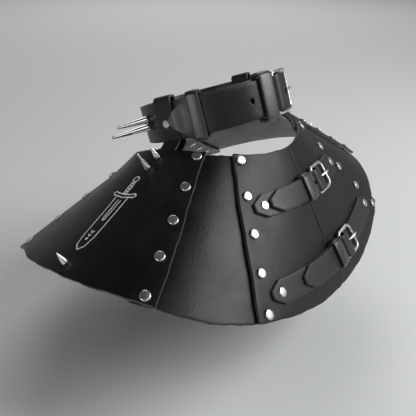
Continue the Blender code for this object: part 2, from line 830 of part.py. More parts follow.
def build_collar(finishes):
    """Collar strap, its keepers, buckle and spikes."""
    half = COLLAR_WIDTH / 2.0
    end_half = COLLAR_BILLET_WIDTH / 2.0
    level = heel_level(COLLAR_WIRE)
    heel = (collar_distance(COLLAR_HEEL_ANGLE), level)
    front = (collar_distance(COLLAR_FRONT_ANGLE), COLLAR_THICKNESS + GAP + COLLAR_WIRE)
    cross = collar_distance(COLLAR_CROSS_ANGLE)
    bm = bmesh.new()
    add_ribbon(bm, collar_place, collar_stations(), COLLAR_THICKNESS)
    strap = add_object("collar_strap", mesh_from(bm, "collar_strap"), finishes["strap_leather"])
    bm = bmesh.new()
    add_fold(bm, collar_place, heel, end_half, level)
    combine(strap, bm, "UNION", "fold")
    cut_fold(strap, collar_place, heel, half, COLLAR_WIRE, level)
    bm = bmesh.new()
    second = COLLAR_THICKNESS + WRAP_GAP / 2.0
    for angle in COLLAR_HOLE_ANGLES:
        low = second if angle < COLLAR_HEEL_ANGLE else -half
        add_pin(bm, route_frame(collar_place, collar_distance(angle)), COLLAR_HOLE_RADIUS,
                low, half)
    for name, matrix, length in collar_spike_places():
        add_pin(bm, matrix, SPIKE_SHANK_RADIUS + GAP, -half, half / 2.0)
        data = spike_mesh(name, COLLAR_SPIKE_RADIUS, COLLAR_SPIKE_TIP, length,
                          COLLAR_THICKNESS)
        add_object(name, data, finishes["chrome"]).matrix_world = matrix
    combine(strap, bm, "DIFFERENCE", "holes")
    bm = bmesh.new()
    slot = COLLAR_WIRE * PRONG_SHARE + PRONG_SLOT_CLEARANCE
    long = PRONG_HOLE_LENGTH / 2.0
    add_box(bm, route_frame(collar_place, cross), (-long, -slot, -half), (long, slot, half))
    combine(strap, bm, "DIFFERENCE", "prong_hole")
    build_buckle("collar_buckle", collar_place, heel, front, end_half, COLLAR_WIRE, cross,
                 finishes["nickel"])
    for label, (angle, width) in COLLAR_KEEPERS.items():
        name = "collar_keeper_" + label
        bm = bmesh.new()
        high = 2.0 * COLLAR_THICKNESS + WRAP_GAP
        add_keeper(bm, collar_place, collar_distance(angle), width, half,
                   -WRAP_GAP, high + WRAP_GAP, COLLAR_KEEPER_THICKNESS, COLLAR_KEEPER_GAP)
        add_object(name, mesh_from(bm, name), finishes["strap_leather"])


# Hangers

def hanger_depth(layer):
    """Depth of the middle of a hanger tab below the mantle's outer face."""
    step = HANGER_THICKNESS + GAP
    return PANEL_THICKNESS + HANGER_TAB_GAP + HANGER_THICKNESS / 2.0 + layer * step


def hanger_path(sign):
    """Middle points and width directions of a hanger, from outer to inner tab."""
    distance = collar_distance(sign * HANGER_ANGLE)
    hem = HANGER_HEM_ANGLE if sign > 0.0 else 360.0 - HANGER_HEM_ANGLE
    length = (hem_point(hem) - neck_point(neck_angle(hem))).length
    tab_side = surface_axes(hem, 0.0)[0]
    collar_side = route_frame(collar_place, distance).col[0].to_3d()
    top = COLLAR_WIDTH / 2.0
    outer = COLLAR_THICKNESS + HANGER_OUTSIDE_GAP + HANGER_THICKNESS / 2.0
    inner = -HANGER_INSIDE_GAP - HANGER_THICKNESS / 2.0
    fold = (outer - inner) / 2.0

    def under(along, layer, drop=0.0):
        place = offset_point(hem, along / length, -hanger_depth(layer) - drop)
        return place, tab_side

    def beside(out, height):
        return collar_place(distance, out, height), collar_side

    line = [under(HANGER_TAB, 0), under(HANGER_TAB_START, 0)]
    line += [beside(outer, height * top) for height in (-1.0, *HANGER_HEIGHTS)]
    for i in range(1, HANGER_STEPS):
        turn = math.pi * i / HANGER_STEPS
        line.append(beside(blend(outer, inner, 0.5) + fold * math.cos(turn),
                           top + WRAP_GAP + fold * math.sin(turn)))
    line += [beside(inner, height * top) for height in reversed(HANGER_HEIGHTS)]
    line.append(beside(inner, -top - HANGER_THICKNESS - WRAP_GAP))
    line += [under(-HANGER_TAB_START, 1, HANGER_LEG_SPREAD), under(HANGER_TAB_START, 1),
             under(HANGER_TAB, 1)]
    return line


def build_hanger(side_name, sign, material):
    """Leather strip along a hanger's path, with holes where the spikes hold it."""
    line = hanger_path(sign)
    name = "hanger_" + side_name
    wide = HANGER_WIDTH / 2.0
    sections = []
    for i, (point, side) in enumerate(line):
        before = line[max(0, i - 1)][0]
        after = line[min(len(line) - 1, i + 1)][0]
        along = (after - before).normalized()
        across = (side - along * side.dot(along)).normalized()
        normal = along.cross(across)
        half = HANGER_THICKNESS / 2.0
        if 0 < i < len(line) - 1:
            half /= max(HANGER_FOLD_SHARE, abs(along.dot((point - before).normalized())))
        sections.append([point + across * x * wide + normal * z * half
                         for x, z in ((-1.0, -1.0), (1.0, -1.0), (1.0, 1.0), (-1.0, 1.0))])
    bm = bmesh.new()
    add_loft(bm, sections)
    hanger = add_object(name, mesh_from(bm, name), material)
    bm = bmesh.new()
    for _, side, matrix, _, held in panel_spike_places():
        if side == side_name and held:
            add_pin(bm, matrix, SPIKE_SHANK_RADIUS + GAP, -4.0 * PANEL_THICKNESS, 0.0)
    combine(hanger, bm, "DIFFERENCE", "holes")


# Closure straps

def pointed_half(distance, end):
    """Half width of a closure strap with a chamfered end."""
    share = min(1.0, abs(distance - end) / CLOSURE_CHAMFER)
    return CLOSURE_WIDTH / 2.0 * blend(CLOSURE_END_SHARE, 1.0, share)


def station_distances(start, end, extra):
    """Even distances from start to end with a few extra ones."""
    count = max(2, round(abs(end - start) / CLOSURE_STEP))
    values = [blend(start, end, i / count) for i in range(count + 1)]
    return sorted(set(values + [x for x in extra if min(start, end) < x < max(start, end)]))


def build_closure(name, left, right, sag, tip, keeper, heel_distance, finishes):
    """One back strap: chape with its keeper, buckle and billet."""
    place, total = closure_route(left, right, sag)
    leather = finishes["strap_leather"]
    half = CLOSURE_WIDTH / 2.0
    level = heel_level(CLOSURE_WIRE)
    heel = (heel_distance, GAP + level)
    bar = heel_distance + CLOSURE_BUCKLE_LENGTH
    front = (bar, 2.0 * GAP + STRAP_THICKNESS + CLOSURE_WIRE)
    cross = heel_distance + CLOSURE_CROSS

    start = -CLOSURE_END
    bm = bmesh.new()
    stations = [(s, GAP, pointed_half(s, start)) for s in
                station_distances(start, heel_distance, (start + CLOSURE_CHAMFER,))]
    add_ribbon(bm, place, stations, STRAP_THICKNESS)
    chape = add_object(name + "_chape", mesh_from(bm, name + "_chape"), leather)
    bm = bmesh.new()
    add_fold(bm, place, heel, half, level)
    combine(chape, bm, "UNION", "fold")
    bm = bmesh.new()
    seat = GAP + STRAP_THICKNESS - CLOSURE_KEEPER_BITE
    roof = GAP + 2.0 * STRAP_THICKNESS + WRAP_GAP * 2.0
    add_keeper(bm, place, keeper, CLOSURE_KEEPER_WIDTH, half, seat, roof,
               CLOSURE_KEEPER_THICKNESS, WRAP_GAP)
    combine(chape, bm, "UNION", "keeper")
    cut_fold(chape, place, heel, half, CLOSURE_WIRE, level)

    end = total + CLOSURE_END
    second = GAP + STRAP_THICKNESS + WRAP_GAP
    over_fold = GAP + 2.0 * level + WRAP_GAP
    lift = level * LIFT_HALF_SHARE
    rows = (
        (heel_distance - lift - LIFT_LENGTH, second),
        (heel_distance - lift, over_fold),
        (heel_distance + lift, over_fold),
        (cross + PRONG_FLAT_LENGTH, GAP),
    )
    extra = tuple(row[0] for row in rows) + (tip + CLOSURE_CHAMFER, end - CLOSURE_CHAMFER)
    stations = []
    for s in station_distances(tip, end, extra):
        half_here = min(pointed_half(s, tip), pointed_half(s, end))
        stations.append((s, table_value(s, rows), half_here))
    bm = bmesh.new()
    add_ribbon(bm, place, stations, STRAP_THICKNESS)
    billet = add_object(name + "_billet", mesh_from(bm, name + "_billet"), leather)
    bm = bmesh.new()
    slot = CLOSURE_WIRE * PRONG_SHARE + PRONG_SLOT_CLEARANCE
    long = PRONG_HOLE_LENGTH / 2.0
    add_box(bm, route_frame(place, cross), (-long, -slot, -half), (long, slot, half))
    combine(billet, bm, "DIFFERENCE", "prong_hole")
    build_buckle(name + "_buckle", place, heel, front, half, CLOSURE_WIRE, cross,
                 finishes["nickel"])


def main():
    clear_objects()
    finishes = make_finishes()
    build_mantle(finishes)
    build_collar(finishes)
    for side, sign in (("left", 1.0), ("right", -1.0)):
        build_hanger(side, sign, finishes["strap_leather"])
    for label, left, right, sag, tip, keeper, heel in CLOSURES:
        build_closure("closure_" + label, left, right, sag, tip, keeper, heel, finishes)


main()
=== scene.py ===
import math

import bmesh
import bpy
from mathutils import Matrix, Vector


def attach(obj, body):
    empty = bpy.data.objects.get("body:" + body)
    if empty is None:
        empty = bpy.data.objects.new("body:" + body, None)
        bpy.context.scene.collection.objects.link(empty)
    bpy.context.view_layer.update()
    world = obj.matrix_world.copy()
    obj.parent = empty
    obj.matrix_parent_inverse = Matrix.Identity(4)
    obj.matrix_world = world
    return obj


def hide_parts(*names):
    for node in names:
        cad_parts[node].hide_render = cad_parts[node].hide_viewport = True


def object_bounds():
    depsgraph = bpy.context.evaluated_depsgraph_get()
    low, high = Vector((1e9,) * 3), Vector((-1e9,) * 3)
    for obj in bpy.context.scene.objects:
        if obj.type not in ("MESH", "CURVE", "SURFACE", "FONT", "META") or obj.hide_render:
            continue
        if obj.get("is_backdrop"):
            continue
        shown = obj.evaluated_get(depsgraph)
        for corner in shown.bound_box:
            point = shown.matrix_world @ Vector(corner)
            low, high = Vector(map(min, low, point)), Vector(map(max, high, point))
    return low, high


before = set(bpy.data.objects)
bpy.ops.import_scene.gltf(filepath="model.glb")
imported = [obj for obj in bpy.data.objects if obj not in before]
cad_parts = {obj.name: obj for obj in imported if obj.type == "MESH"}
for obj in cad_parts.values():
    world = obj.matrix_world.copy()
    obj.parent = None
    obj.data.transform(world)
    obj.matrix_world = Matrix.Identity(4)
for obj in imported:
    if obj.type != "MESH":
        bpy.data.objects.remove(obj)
cad_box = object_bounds()


# Sizes in metres and angles in degrees, the same as those of the solids

PANEL_THICKNESS = 0.0028
STRAP_THICKNESS = 0.0024
COLLAR_THICKNESS = 0.0028
HANGER_THICKNESS = 0.0020
GAP = 0.0003
LAYER_GAP = 0.0007
WRAP_GAP = 0.0005

NECK_HALF_WIDTH = 0.0800
NECK_HALF_DEPTH = 0.0694
NECK_HEIGHTS = (-0.0240, 0.0099, 0.0042)
HEM_HALF_WIDTH = 0.1916
HEM_DEPTHS = (-0.1613, 0.0156, 0.1355)
HEM_HEIGHTS = (-0.1031, -0.0491, -0.1027)
HEM_FULLNESS = 0.0062
HEM_DIP = 0.0022

SIDES = (("left", 1.0), ("right", -1.0))
SEAM_ANGLES = {"front": (21.8, 46.3), "side": (113.7, 108.5), "back": (138.8, 146.1)}
CLOSURE_HEM_ANGLE = 176.6
CLOSURE_GAP = 0.0008
MARGIN_NECK = 0.0064
MARGIN_HEM = 0.0100
CORNER_POINT = 0.0070
CORNER_REACH = 0.0300

RIVETS_PER_SEAM = 5
RIVET_INSET = 0.0056
RIVET_RADIUS = 0.0040
RIVET_HEIGHT = 0.0017

# Rows: side, number, share of the way down the panel, hem angle, length
PANEL_SPIKES = (
    ("left", 1, 0.075, 90.5, 0.0130),
    ("left", 2, 0.170, 89.0, 0.0165),
    ("left", 3, 0.925, 80.0, 0.0110),
    ("right", 1, 0.075, 90.5, 0.0130),
    ("right", 2, 0.170, 89.0, 0.0165),
    ("right", 3, 0.925, 89.0, 0.0140),
)
PANEL_SPIKE_RADIUS = 0.0029
PANEL_SPIKE_TIP = 0.0004
# Rows: number, collar angle, height above the collar's middle, length
COLLAR_SPIKES = (
    (1, 62.0, 0.0050, 0.0285),
    (2, 66.0, -0.0010, 0.0375),
)
COLLAR_SPIKE_RADIUS = 0.0033
COLLAR_SPIKE_TIP = 0.0010
# Outline of a rivet's cap: shares of its radius and of its height
CAP_OUTLINE = (
    (0.99, 0.0), (1.0, 0.3), (0.985, 0.55), (0.93, 0.78), (0.84, 0.90), (0.72, 0.955),
    (0.5, 0.985), (0.25, 1.0), (0.0, 1.0),
)
CAP_INNER_SHARE = 0.94
CAP_SINK = 0.0003
SHANK_RADIUS = 0.0015
# Outline of the cap behind the leather: share of its radius, and height
BACK_OUTLINE = ((0.0, -0.0009), (0.6, -0.0008), (0.88, -0.0006), (1.0, -0.0002), (0.96, 0.0))
BACK_SHARE = 0.9
# Outline of a spike's screw: radius, and height over the leather's back
SCREW_OUTLINE = ((0.0, -0.0010), (0.0024, -0.0010), (0.0030, -0.0007), (0.0030, 0.0),
                 (0.0014, 0.0))
# Outline of a spike's skirt: share of its radius, and height over the leather
SKIRT_OUTLINE = ((0.90, -0.0002), (0.98, 0.0001), (1.0, 0.0006), (1.0, 0.0013),
                 (0.975, 0.0019))

COLLAR_CENTRE = Vector((0.0, -0.0055, 0.0257))
COLLAR_TILT = 19.5
COLLAR_LEAN = 1.5
COLLAR_INNER_RADIUS = 0.0606
COLLAR_WIDTH = 0.0315
COLLAR_BILLET_WIDTH = 0.0290
COLLAR_TIP_ANGLE = 91.0
COLLAR_TIP_LENGTH = 0.0185
COLLAR_HOLE_RADIUS = 0.0021
COLLAR_HOLE_ANGLES = (151.5, 184.5)
COLLAR_KEEPER_THICKNESS = 0.0024
COLLAR_KEEPER_GAP = 0.0015
# Keepers: collar angle and width
COLLAR_KEEPERS = {"sliding": (112.0, 0.0105), "fixed": (165.0, 0.0135)}
PRONG_FLAT_ANGLE = 6.0
FOLD_LIFT_ANGLE = 8.0
FOLD_HALF_ANGLE = 2.5
FOLD_DROP_ANGLE = 6.0
HANGER_LIFT_ANGLE = 16.0
HANGER_HALF_ANGLE = 8.5
TAPER_START_ANGLE = 40.0
TAPER_END_ANGLE = 10.0
HEEL_TAPER_ANGLES = (5.0, 14.0)
COLLAR_WIRE = 0.0016
COLLAR_HEEL_ANGLE = 178.0
COLLAR_FRONT_ANGLE = 206.0
COLLAR_CROSS_ANGLE = 193.5
COLLAR_TIP_SHARE = 0.06
COLLAR_TIP_CURVE = 0.9

CLOSURE_WIRE = 0.0014
CLOSURE_BUCKLE_LENGTH = 0.0220
CLOSURE_CROSS = 0.0120
FOLD_THICKNESS = 0.0011
FRAME_CLEARANCE = 0.0006
FRAME_CORNER = 0.0045
PRONG_SHARE = 0.75
PRONG_HOLE_LENGTH = 0.0100
# Prong: shares of the wire, the hole's length, the rise and the reach over the bar
PRONG_DROP = 0.2
PRONG_PASS_SHARE = 0.3
PRONG_RISE_SHARE = 0.6
PRONG_REST_SHARE = 0.8
BAR_SHARES = (0.2, 0.4, 0.6, 0.8)

HANGER_ANGLE = 87.0
HANGER_HEM_ANGLE = 90.0
HANGER_WIDTH = 0.0175
HANGER_TAB = 0.0290
HANGER_OUTSIDE_GAP = 0.0006
HANGER_INSIDE_GAP = 0.0018
HANGER_TAB_GAP = 0.0015
HANGER_TAB_START = 0.0045
HANGER_LEG_SPREAD = 0.0045
# Shares of half the collar's width
HANGER_HEIGHTS = (-0.4, 0.3, 0.9)
HANGER_RIVET_DROP = 0.0010
# Radius and height of the strap rivets' caps, and radius and depth of their shanks
HANGER_RIVET = (0.0035, 0.0013)
CLOSURE_RIVET = (0.0038, 0.0012)
STRAP_SHANK = (0.0014, 0.0030)

CLOSURE_WIDTH = 0.0190
CLOSURE_END = 0.0100
CLOSURE_CHAMFER = 0.0118
CLOSURE_END_SHARE = 0.34
CLOSURE_KEEPER_WIDTH = 0.0130
CLOSURE_KEEPER_THICKNESS = 0.0018
CLOSURE_KEEPER_BITE = 0.0004
LIFT_HALF_SHARE = 1.2
LIFT_LENGTH = 0.0042
PRONG_FLAT_LENGTH = 0.0040
KEEPER_BULGE = 0.0006
KEEPER_CORNER = 0.0012
SPARE_HOLE_RADIUS = 0.0014
SPARE_HOLE_DISTANCE = 0.0075
# Rows: name, left rivet and right rivet (hem angle, share down), sag share,
# and the distances of the billet's tip, the keeper and the buckle's heel
CLOSURES = (
    ("closure_upper", (152.5, 0.335), (207.0, 0.368), -0.050, 0.0060, 0.0580, 0.0760),
    ("closure_lower", (151.5, 0.848), (208.0, 0.828), -0.040, 0.0290, 0.0900, 0.1040),
)


def blend(a, b, share):
    """Value a share of the way from a to b."""
    return a + (b - a) * share


def table_value(x, rows):
    """Value at x in rows of (x, value), eased from row to row."""
    if x <= rows[0][0]:
        return rows[0][1]
    for (x0, y0), (x1, y1) in zip(rows, rows[1:]):
        if x <= x1:
            share = (x - x0) / (x1 - x0)
            return blend(y0, y1, share * share * (3.0 - 2.0 * share))
    return rows[-1][1]


# The mantle's outer face: a hem angle and a share of the way down give a point

def by_side(values, angle):
    """Smooth value round the neck that meets its front, side and back values."""
    front, side, back = values
    turn = math.radians(angle)
    middle = (front + back) / 2.0
    return ((middle + side) / 2.0 + (front - back) / 2.0 * math.cos(turn)
            + (middle - side) / 2.0 * math.cos(2.0 * turn))


def neck_point(angle):
    """Point of the mantle's neck edge."""
    turn = math.radians(angle)
    return Vector((NECK_HALF_WIDTH * math.sin(turn), -NECK_HALF_DEPTH * math.cos(turn),
                   by_side(NECK_HEIGHTS, angle)))


def hem_point(angle):
    """Point of the mantle's lower edge."""
    turn = math.radians(angle)
    fullness = HEM_FULLNESS * (math.sin(turn) + math.sin(3.0 * turn))
    dip = HEM_DIP * (math.cos(3.0 * turn) - math.cos(turn))
    return Vector((HEM_HALF_WIDTH * math.sin(turn) + fullness,
                   by_side(HEM_DEPTHS, angle), by_side(HEM_HEIGHTS, angle) + dip))


def seam_knots():
    """Pairs of hem angle and neck angle that the surface's straight lines join."""
    left = [(0.0, 0.0)] + [(hem, neck) for neck, hem in SEAM_ANGLES.values()]
    right = [(360.0 - hem, 360.0 - neck) for hem, neck in reversed(left)]
    ring = left + [(CLOSURE_HEM_ANGLE, 180.0)] + right
    before = [(hem - 360.0, neck - 360.0) for hem, neck in ring[-3:-1]]
    after = [(hem + 360.0, neck + 360.0) for hem, neck in ring[1:3]]
    return before + ring + after


KNOTS = seam_knots()


def neck_angle(hem_angle):
    """Neck angle that the straight line from a hem angle runs to."""
    turns = math.floor(hem_angle / 360.0) * 360.0
    x = hem_angle - turns
    for i in range(1, len(KNOTS) - 2):
        if KNOTS[i][0] <= x <= KNOTS[i + 1][0]:
            break
    (xa, ya), (x0, y0), (x1, y1), (xb, yb) = KNOTS[i - 1:i + 3]
    width = x1 - x0
    slope0 = (y1 - ya) / (x1 - xa) * width
    slope1 = (yb - y0) / (xb - x0) * width
    t = (x - x0) / width
    value = ((2.0 * t ** 3 - 3.0 * t ** 2 + 1.0) * y0 + (t ** 3 - 2.0 * t ** 2 + t) * slope0
             + (3.0 * t ** 2 - 2.0 * t ** 3) * y1 + (t ** 3 - t ** 2) * slope1)
    return value + turns


def surface_point(angle, down):
    """Point of the mantle's outer face."""
    return neck_point(neck_angle(angle)).lerp(hem_point(angle), down)


def surface_axes(angle, down):
    """Unit vectors round and down the surface, and its outward normal."""
    step = 0.05
    around = surface_point(angle + step, down) - surface_point(angle - step, down)
    downward = surface_point(angle, 1.0) - surface_point(angle, 0.0)
    return around.normalized(), downward.normalized(), downward.cross(around).normalized()


def offset_point(angle, down, offset):
    """Point at a distance out from the mantle's outer face."""
    return surface_point(angle, down) + surface_axes(angle, down)[2] * offset


def angle_margin(angle, down, margin):
    """Hem angle that a distance along the surface takes up."""
    step = 0.5
    around = surface_point(angle + step, down) - surface_point(angle - step, down)
    return margin / around.length * 2.0 * step


def panel_length(angle):
    """Length of the mantle from neck edge to hem along one straight line."""
    return (hem_point(angle) - neck_point(neck_angle(angle))).length


def on_side(side, angle):
    """Hem angle on a side, from the one on the left."""
    return angle if side == "left" else 360.0 - angle


# The collar and the straps: a route gives the point at a distance along, out and across

def collar_place_matrix():
    """Place and lean of the collar's ring."""
    tilt = Matrix.Rotation(math.radians(COLLAR_TILT), 4, "X")
    lean = Matrix.Rotation(math.radians(-COLLAR_LEAN), 4, "Y")
    return Matrix.Translation(COLLAR_CENTRE) @ lean @ tilt


COLLAR_MATRIX = collar_place_matrix()


def collar_place(distance, out, across):
    """Point of the collar; the distance is measured on its inner face from the front."""
    turn = distance / COLLAR_INNER_RADIUS
    radius = COLLAR_INNER_RADIUS + out
    return COLLAR_MATRIX @ Vector((radius * math.sin(turn), -radius * math.cos(turn), across))


def collar_distance(angle):
    """Distance along the collar's inner face to an angle."""
    return math.radians(angle) * COLLAR_INNER_RADIUS


def closure_route(left, right, sag):
    """Place function of a closure strap, and the distance between its rivets."""
    steps = 60

    def on_surface(share):
        down = blend(left[1], right[1], share) + sag * 4.0 * share * (1.0 - share)
        return blend(left[0], right[0], share), down

    lengths = [0.0]
    for i in range(steps):
        a = surface_point(*on_surface(i / steps))
        b = surface_point(*on_surface((i + 1) / steps))
        lengths.append(lengths[-1] + (b - a).length)
    total = lengths[-1]

    def share_at(distance):
        if distance <= 0.0 or distance >= total:
            return distance / total
        for i in range(steps):
            if distance <= lengths[i + 1]:
                step = (distance - lengths[i]) / (lengths[i + 1] - lengths[i])
                return (i + step) / steps
        return 1.0

    def place(distance, out, across):
        share = share_at(distance)
        angle, down = on_surface(share)
        normal = surface_axes(angle, down)[2]
        small = 0.002
        along = (surface_point(*on_surface(share + small))
                 - surface_point(*on_surface(share - small))).normalized()
        return surface_point(angle, down) + normal * out - along.cross(normal) * across

    return place, total


def frame_matrix(origin, along, normal):
    """Matrix with X along, Z out along the normal and its place at the origin."""
    z_axis = normal.normalized()
    y_axis = z_axis.cross(along).normalized()
    matrix = Matrix((y_axis.cross(z_axis), y_axis, z_axis)).transposed().to_4x4()
    matrix.translation = origin
    return matrix


def surface_frame(angle, down):
    """Frame on the mantle's outer face: X round it and Z out of it."""
    around, _, normal = surface_axes(angle, down)
    return frame_matrix(surface_point(angle, down), around, normal)


def route_frame(place, distance):
    """Frame on a route: X along it, Y across it and Z out from it."""
    small = 0.0005
    origin = place(distance, 0.0, 0.0)
    along = place(distance + small, 0.0, 0.0) - place(distance - small, 0.0, 0.0)
    return frame_matrix(origin, along, place(distance, 1.0, 0.0) - origin)


# Shader helpers and the effects that several finishes share

def new_node(tree, kind, place, **values):
    """Add a node, then set its properties and feed its sockets by name."""
    node = tree.nodes.new(kind)
    node.location = place
    for name, value in values.items():
        if hasattr(node, name):
            setattr(node, name, value)
        else:
            feed(tree, value, node.inputs[name.replace("_", " ")])
    return node


def feed(tree, value, socket):
    """Link a socket to the one that gives its value, or set its number or colour."""
    if isinstance(value, bpy.types.NodeSocket):
        tree.links.new(value, socket)
    else:
        socket.default_value = value


def compute(tree, operation, place, first, second):
    """Result of a math node on two numbers or sockets."""
    node = new_node(tree, "ShaderNodeMath", place, operation=operation)
    feed(tree, first, node.inputs[0])
    feed(tree, second, node.inputs[1])
    return node.outputs[0]


def map_value(tree, place, value, **ends):
    """Socket with a value carried from one range to another."""
    return new_node(tree, "ShaderNodeMapRange", place, Value=value, **ends).outputs["Result"]


def mix(tree, place, factor, first, second):
    """Socket with a colour between two colours or sockets, by a factor."""
    node = new_node(tree, "ShaderNodeMix", place, data_type="RGBA", Factor=factor, A=first,
                    B=second)
    return node.outputs["Result"]


def new_effect(name, inputs, outputs):
    """Empty shader node group, and its inner sockets for the named inputs and outputs."""
    tree = bpy.data.node_groups.new(name, "ShaderNodeTree")
    for way, labels in (("INPUT", inputs), ("OUTPUT", outputs)):
        for label in labels:
            tree.interface.new_socket(label, in_out=way, socket_type="NodeSocketFloat")
    entry = new_node(tree, "NodeGroupInput", (-900, 0))
    result = new_node(tree, "NodeGroupOutput", (900, 0))
    return tree, entry.outputs, result.inputs


def ramp(tree, place, value, stops):
    """Grey that a value has on a ramp with rows of (position, grey)."""
    node = new_node(tree, "ShaderNodeValToRGB", place, Fac=value)
    elements = node.color_ramp.elements
    for i, (position, grey) in enumerate(stops):
        element = elements[i] if i < 2 else elements.new(position)
        element.position = position
        element.color = (grey, grey, grey, 1.0)
    return node.outputs["Color"]


def hide_grain_effect():
    """Leather grain: fine pebbles and pores as a height, and blotches as a mask."""
    tree, entry, result = new_effect("hide_grain", ("Pebble Size", "Blotch Size", "Pore Depth"),
                                     ("Height", "Blotches"))
    where = new_node(tree, "ShaderNodeTexCoord", (-900, 300)).outputs["Object"]
    scale = compute(tree, "DIVIDE", (-700, 100), 1.0, entry["Pebble Size"])
    pebbles = new_node(tree, "ShaderNodeTexVoronoi", (-480, 300), feature="SMOOTH_F1",
                       Vector=where, Scale=scale)
    crease_scale = compute(tree, "MULTIPLY", (-700, -60), scale, 0.45)
    creases = new_node(tree, "ShaderNodeTexNoise", (-480, 0), Vector=where,
                       Scale=crease_scale, Detail=4.0, Roughness=0.65)
    pores = compute(tree, "MULTIPLY", (-240, 260), pebbles.outputs["Distance"],
                    entry["Pore Depth"])
    height = compute(tree, "SUBTRACT", (0, 160), creases.outputs["Fac"], pores)
    feed(tree, height, result["Height"])
    blotch_scale = compute(tree, "DIVIDE", (-700, -260), 1.0, entry["Blotch Size"])
    blotches = new_node(tree, "ShaderNodeTexNoise", (-480, -260), Vector=where,
                        Scale=blotch_scale, Detail=3.0, Roughness=0.55)
    spread = ramp(tree, (-240, -260), blotches.outputs["Fac"], ((0.33, 0.0), (0.68, 1.0)))
    feed(tree, spread, result["Blotches"])
    return tree


def scuffs_effect():
    """Sparse fine scratches as a mask, from stretched noise in two directions."""
    tree, entry, result = new_effect("scuffs", ("Scratch Size", "Amount"), ("Mask",))
    where = new_node(tree, "ShaderNodeTexCoord", (-900, 300)).outputs["Object"]
    scale = compute(tree, "DIVIDE", (-700, 100), 1.0, entry["Scratch Size"])
    masks = []
    for row, turn in ((300, (0.3, 0.2, 0.9)), (500, (1.1, 0.7, -0.5))):
        mapping = new_node(tree, "ShaderNodeMapping", (-700, row), Vector=where,
                           Rotation=turn, Scale=(1.0, 14.0, 6.0))
        noise = new_node(tree, "ShaderNodeTexNoise", (-480, row), Scale=scale, Detail=2.0,
                         Vector=mapping.outputs["Vector"])
        masks.append(ramp(tree, (-240, row), noise.outputs["Fac"],
                          ((0.69, 0.0), (0.74, 1.0))))
    both = compute(tree, "MAXIMUM", (60, 300), *masks)
    weak = compute(tree, "MULTIPLY", (260, 300), both, entry["Amount"])
    feed(tree, weak, result["Mask"])
    return tree


HIDE_GRAIN = hide_grain_effect()
SCUFFS = scuffs_effect()


def new_material(name, pebble, blotch, pore):
    """Material with its tree, its shader's sockets and the grain's sockets."""
    material = bpy.data.materials.new(name)
    material.use_nodes = True
    tree = material.node_tree
    grain = new_node(tree, "ShaderNodeGroup", (-900, 0), node_tree=HIDE_GRAIN,
                     Pebble_Size=pebble, Blotch_Size=blotch, Pore_Depth=pore)
    return material, tree, tree.nodes["Principled BSDF"].inputs, grain.outputs


def add_scuffs(tree, size, amount):
    """Mask of scratches of a size, as strong as the amount."""
    node = new_node(tree, "ShaderNodeGroup", (-900, -250), node_tree=SCUFFS,
                    Scratch_Size=size, Amount=amount)
    return node.outputs["Mask"]


def add_relief(tree, shader, grain, strength, depth):
    """Bump the shader's normal by the grain's height."""
    bump = new_node(tree, "ShaderNodeBump", (-380, -250), Strength=strength, Distance=depth,
                    Height=grain["Height"])
    feed(tree, bump.outputs["Normal"], shader["Normal"])


def leather(name, low, high, scuffed, roughness, depth, specular, amount, patch=None):
    """Dyed hide: two blotched tones, grain, light scratches and a paler patch that is partly
    worn dye and partly painted sheen.
    """
    material, tree, shader, grain = new_material(name, 0.0011, 0.028, 0.55)
    dye = mix(tree, (-600, 200), grain["Blotches"], (*low, 1.0), (*high, 1.0))
    scratches = add_scuffs(tree, 0.012, amount)
    colour = mix(tree, (-380, 200), scratches, dye, (*scuffed, 1.0))
    if patch:
        # Paler patch round a point: partly worn dye, partly a painted sheen
        middle, radius, worn_and_sheen = patch
        where = new_node(tree, "ShaderNodeTexCoord", (-900, 500))
        away = new_node(tree, "ShaderNodeVectorMath", (-700, 500), operation="DISTANCE")
        feed(tree, where.outputs["Object"], away.inputs[0])
        feed(tree, middle, away.inputs[1])
        near = map_value(tree, (-500, 500), away.outputs["Value"], From_Min=radius,
                         From_Max=radius * TIP_WEAR_AND_SHEEN_FADE)
        colour = mix(tree, (-180, 300), near, colour, (*worn_and_sheen, 1.0))
    feed(tree, colour, shader["Base Color"])
    feed(tree, specular, shader["Specular IOR Level"])
    gloss = map_value(tree, (-600, -60), grain["Blotches"], To_Min=roughness[0],
                      To_Max=roughness[1])
    feed(tree, gloss, shader["Roughness"])
    add_relief(tree, shader, grain, 0.55, depth)
    return material


def plated(name, colour, roughness):
    """Plated metal: a smooth coat with faint wear and fine scratches."""
    material, tree, shader, grain = new_material(name, 0.0006, 0.004, 0.2)
    feed(tree, 1.0, shader["Metallic"])
    feed(tree, (*colour, 1.0), shader["Base Color"])
    gloss = map_value(tree, (-600, 0), grain["Blotches"], To_Min=roughness[0],
                      To_Max=roughness[1])
    worn = compute(tree, "ADD", (-380, 0), gloss, add_scuffs(tree, 0.002, 0.06))
    feed(tree, worn, shader["Roughness"])
    add_relief(tree, shader, grain, 0.15, 0.00005)
    return material


def ink(name, colour, roughness):
    """Opaque ink with a faint mottle, for drawn lines."""
    material, tree, shader, grain = new_material(name, 0.0008, 0.003, 0.5)
    darker = (*(part * 0.84 for part in colour), 1.0)
    tone = mix(tree, (-400, 100), grain["Blotches"], darker, (*colour, 1.0))
    feed(tree, tone, shader["Base Color"])
    feed(tree, roughness, shader["Roughness"])
    return material


# Paler, browner patch on the collar strap's billet tip: partly its worn dye, partly a painted
# sheen of the light it catches
TIP_WEAR_AND_SHEEN_ANGLE = 98.0
TIP_WEAR_AND_SHEEN_OUT = 0.024
TIP_WEAR_AND_SHEEN_RADIUS = 0.0235
TIP_WEAR_AND_SHEEN_FADE = 0.85
TIP_WEAR_AND_SHEEN_MIDDLE = collar_place(collar_distance(TIP_WEAR_AND_SHEEN_ANGLE), TIP_WEAR_AND_SHEEN_OUT, 0.0)
TIP_WEAR_AND_SHEEN_PATCH = (TIP_WEAR_AND_SHEEN_MIDDLE, TIP_WEAR_AND_SHEEN_RADIUS, (0.095, 0.086, 0.079))
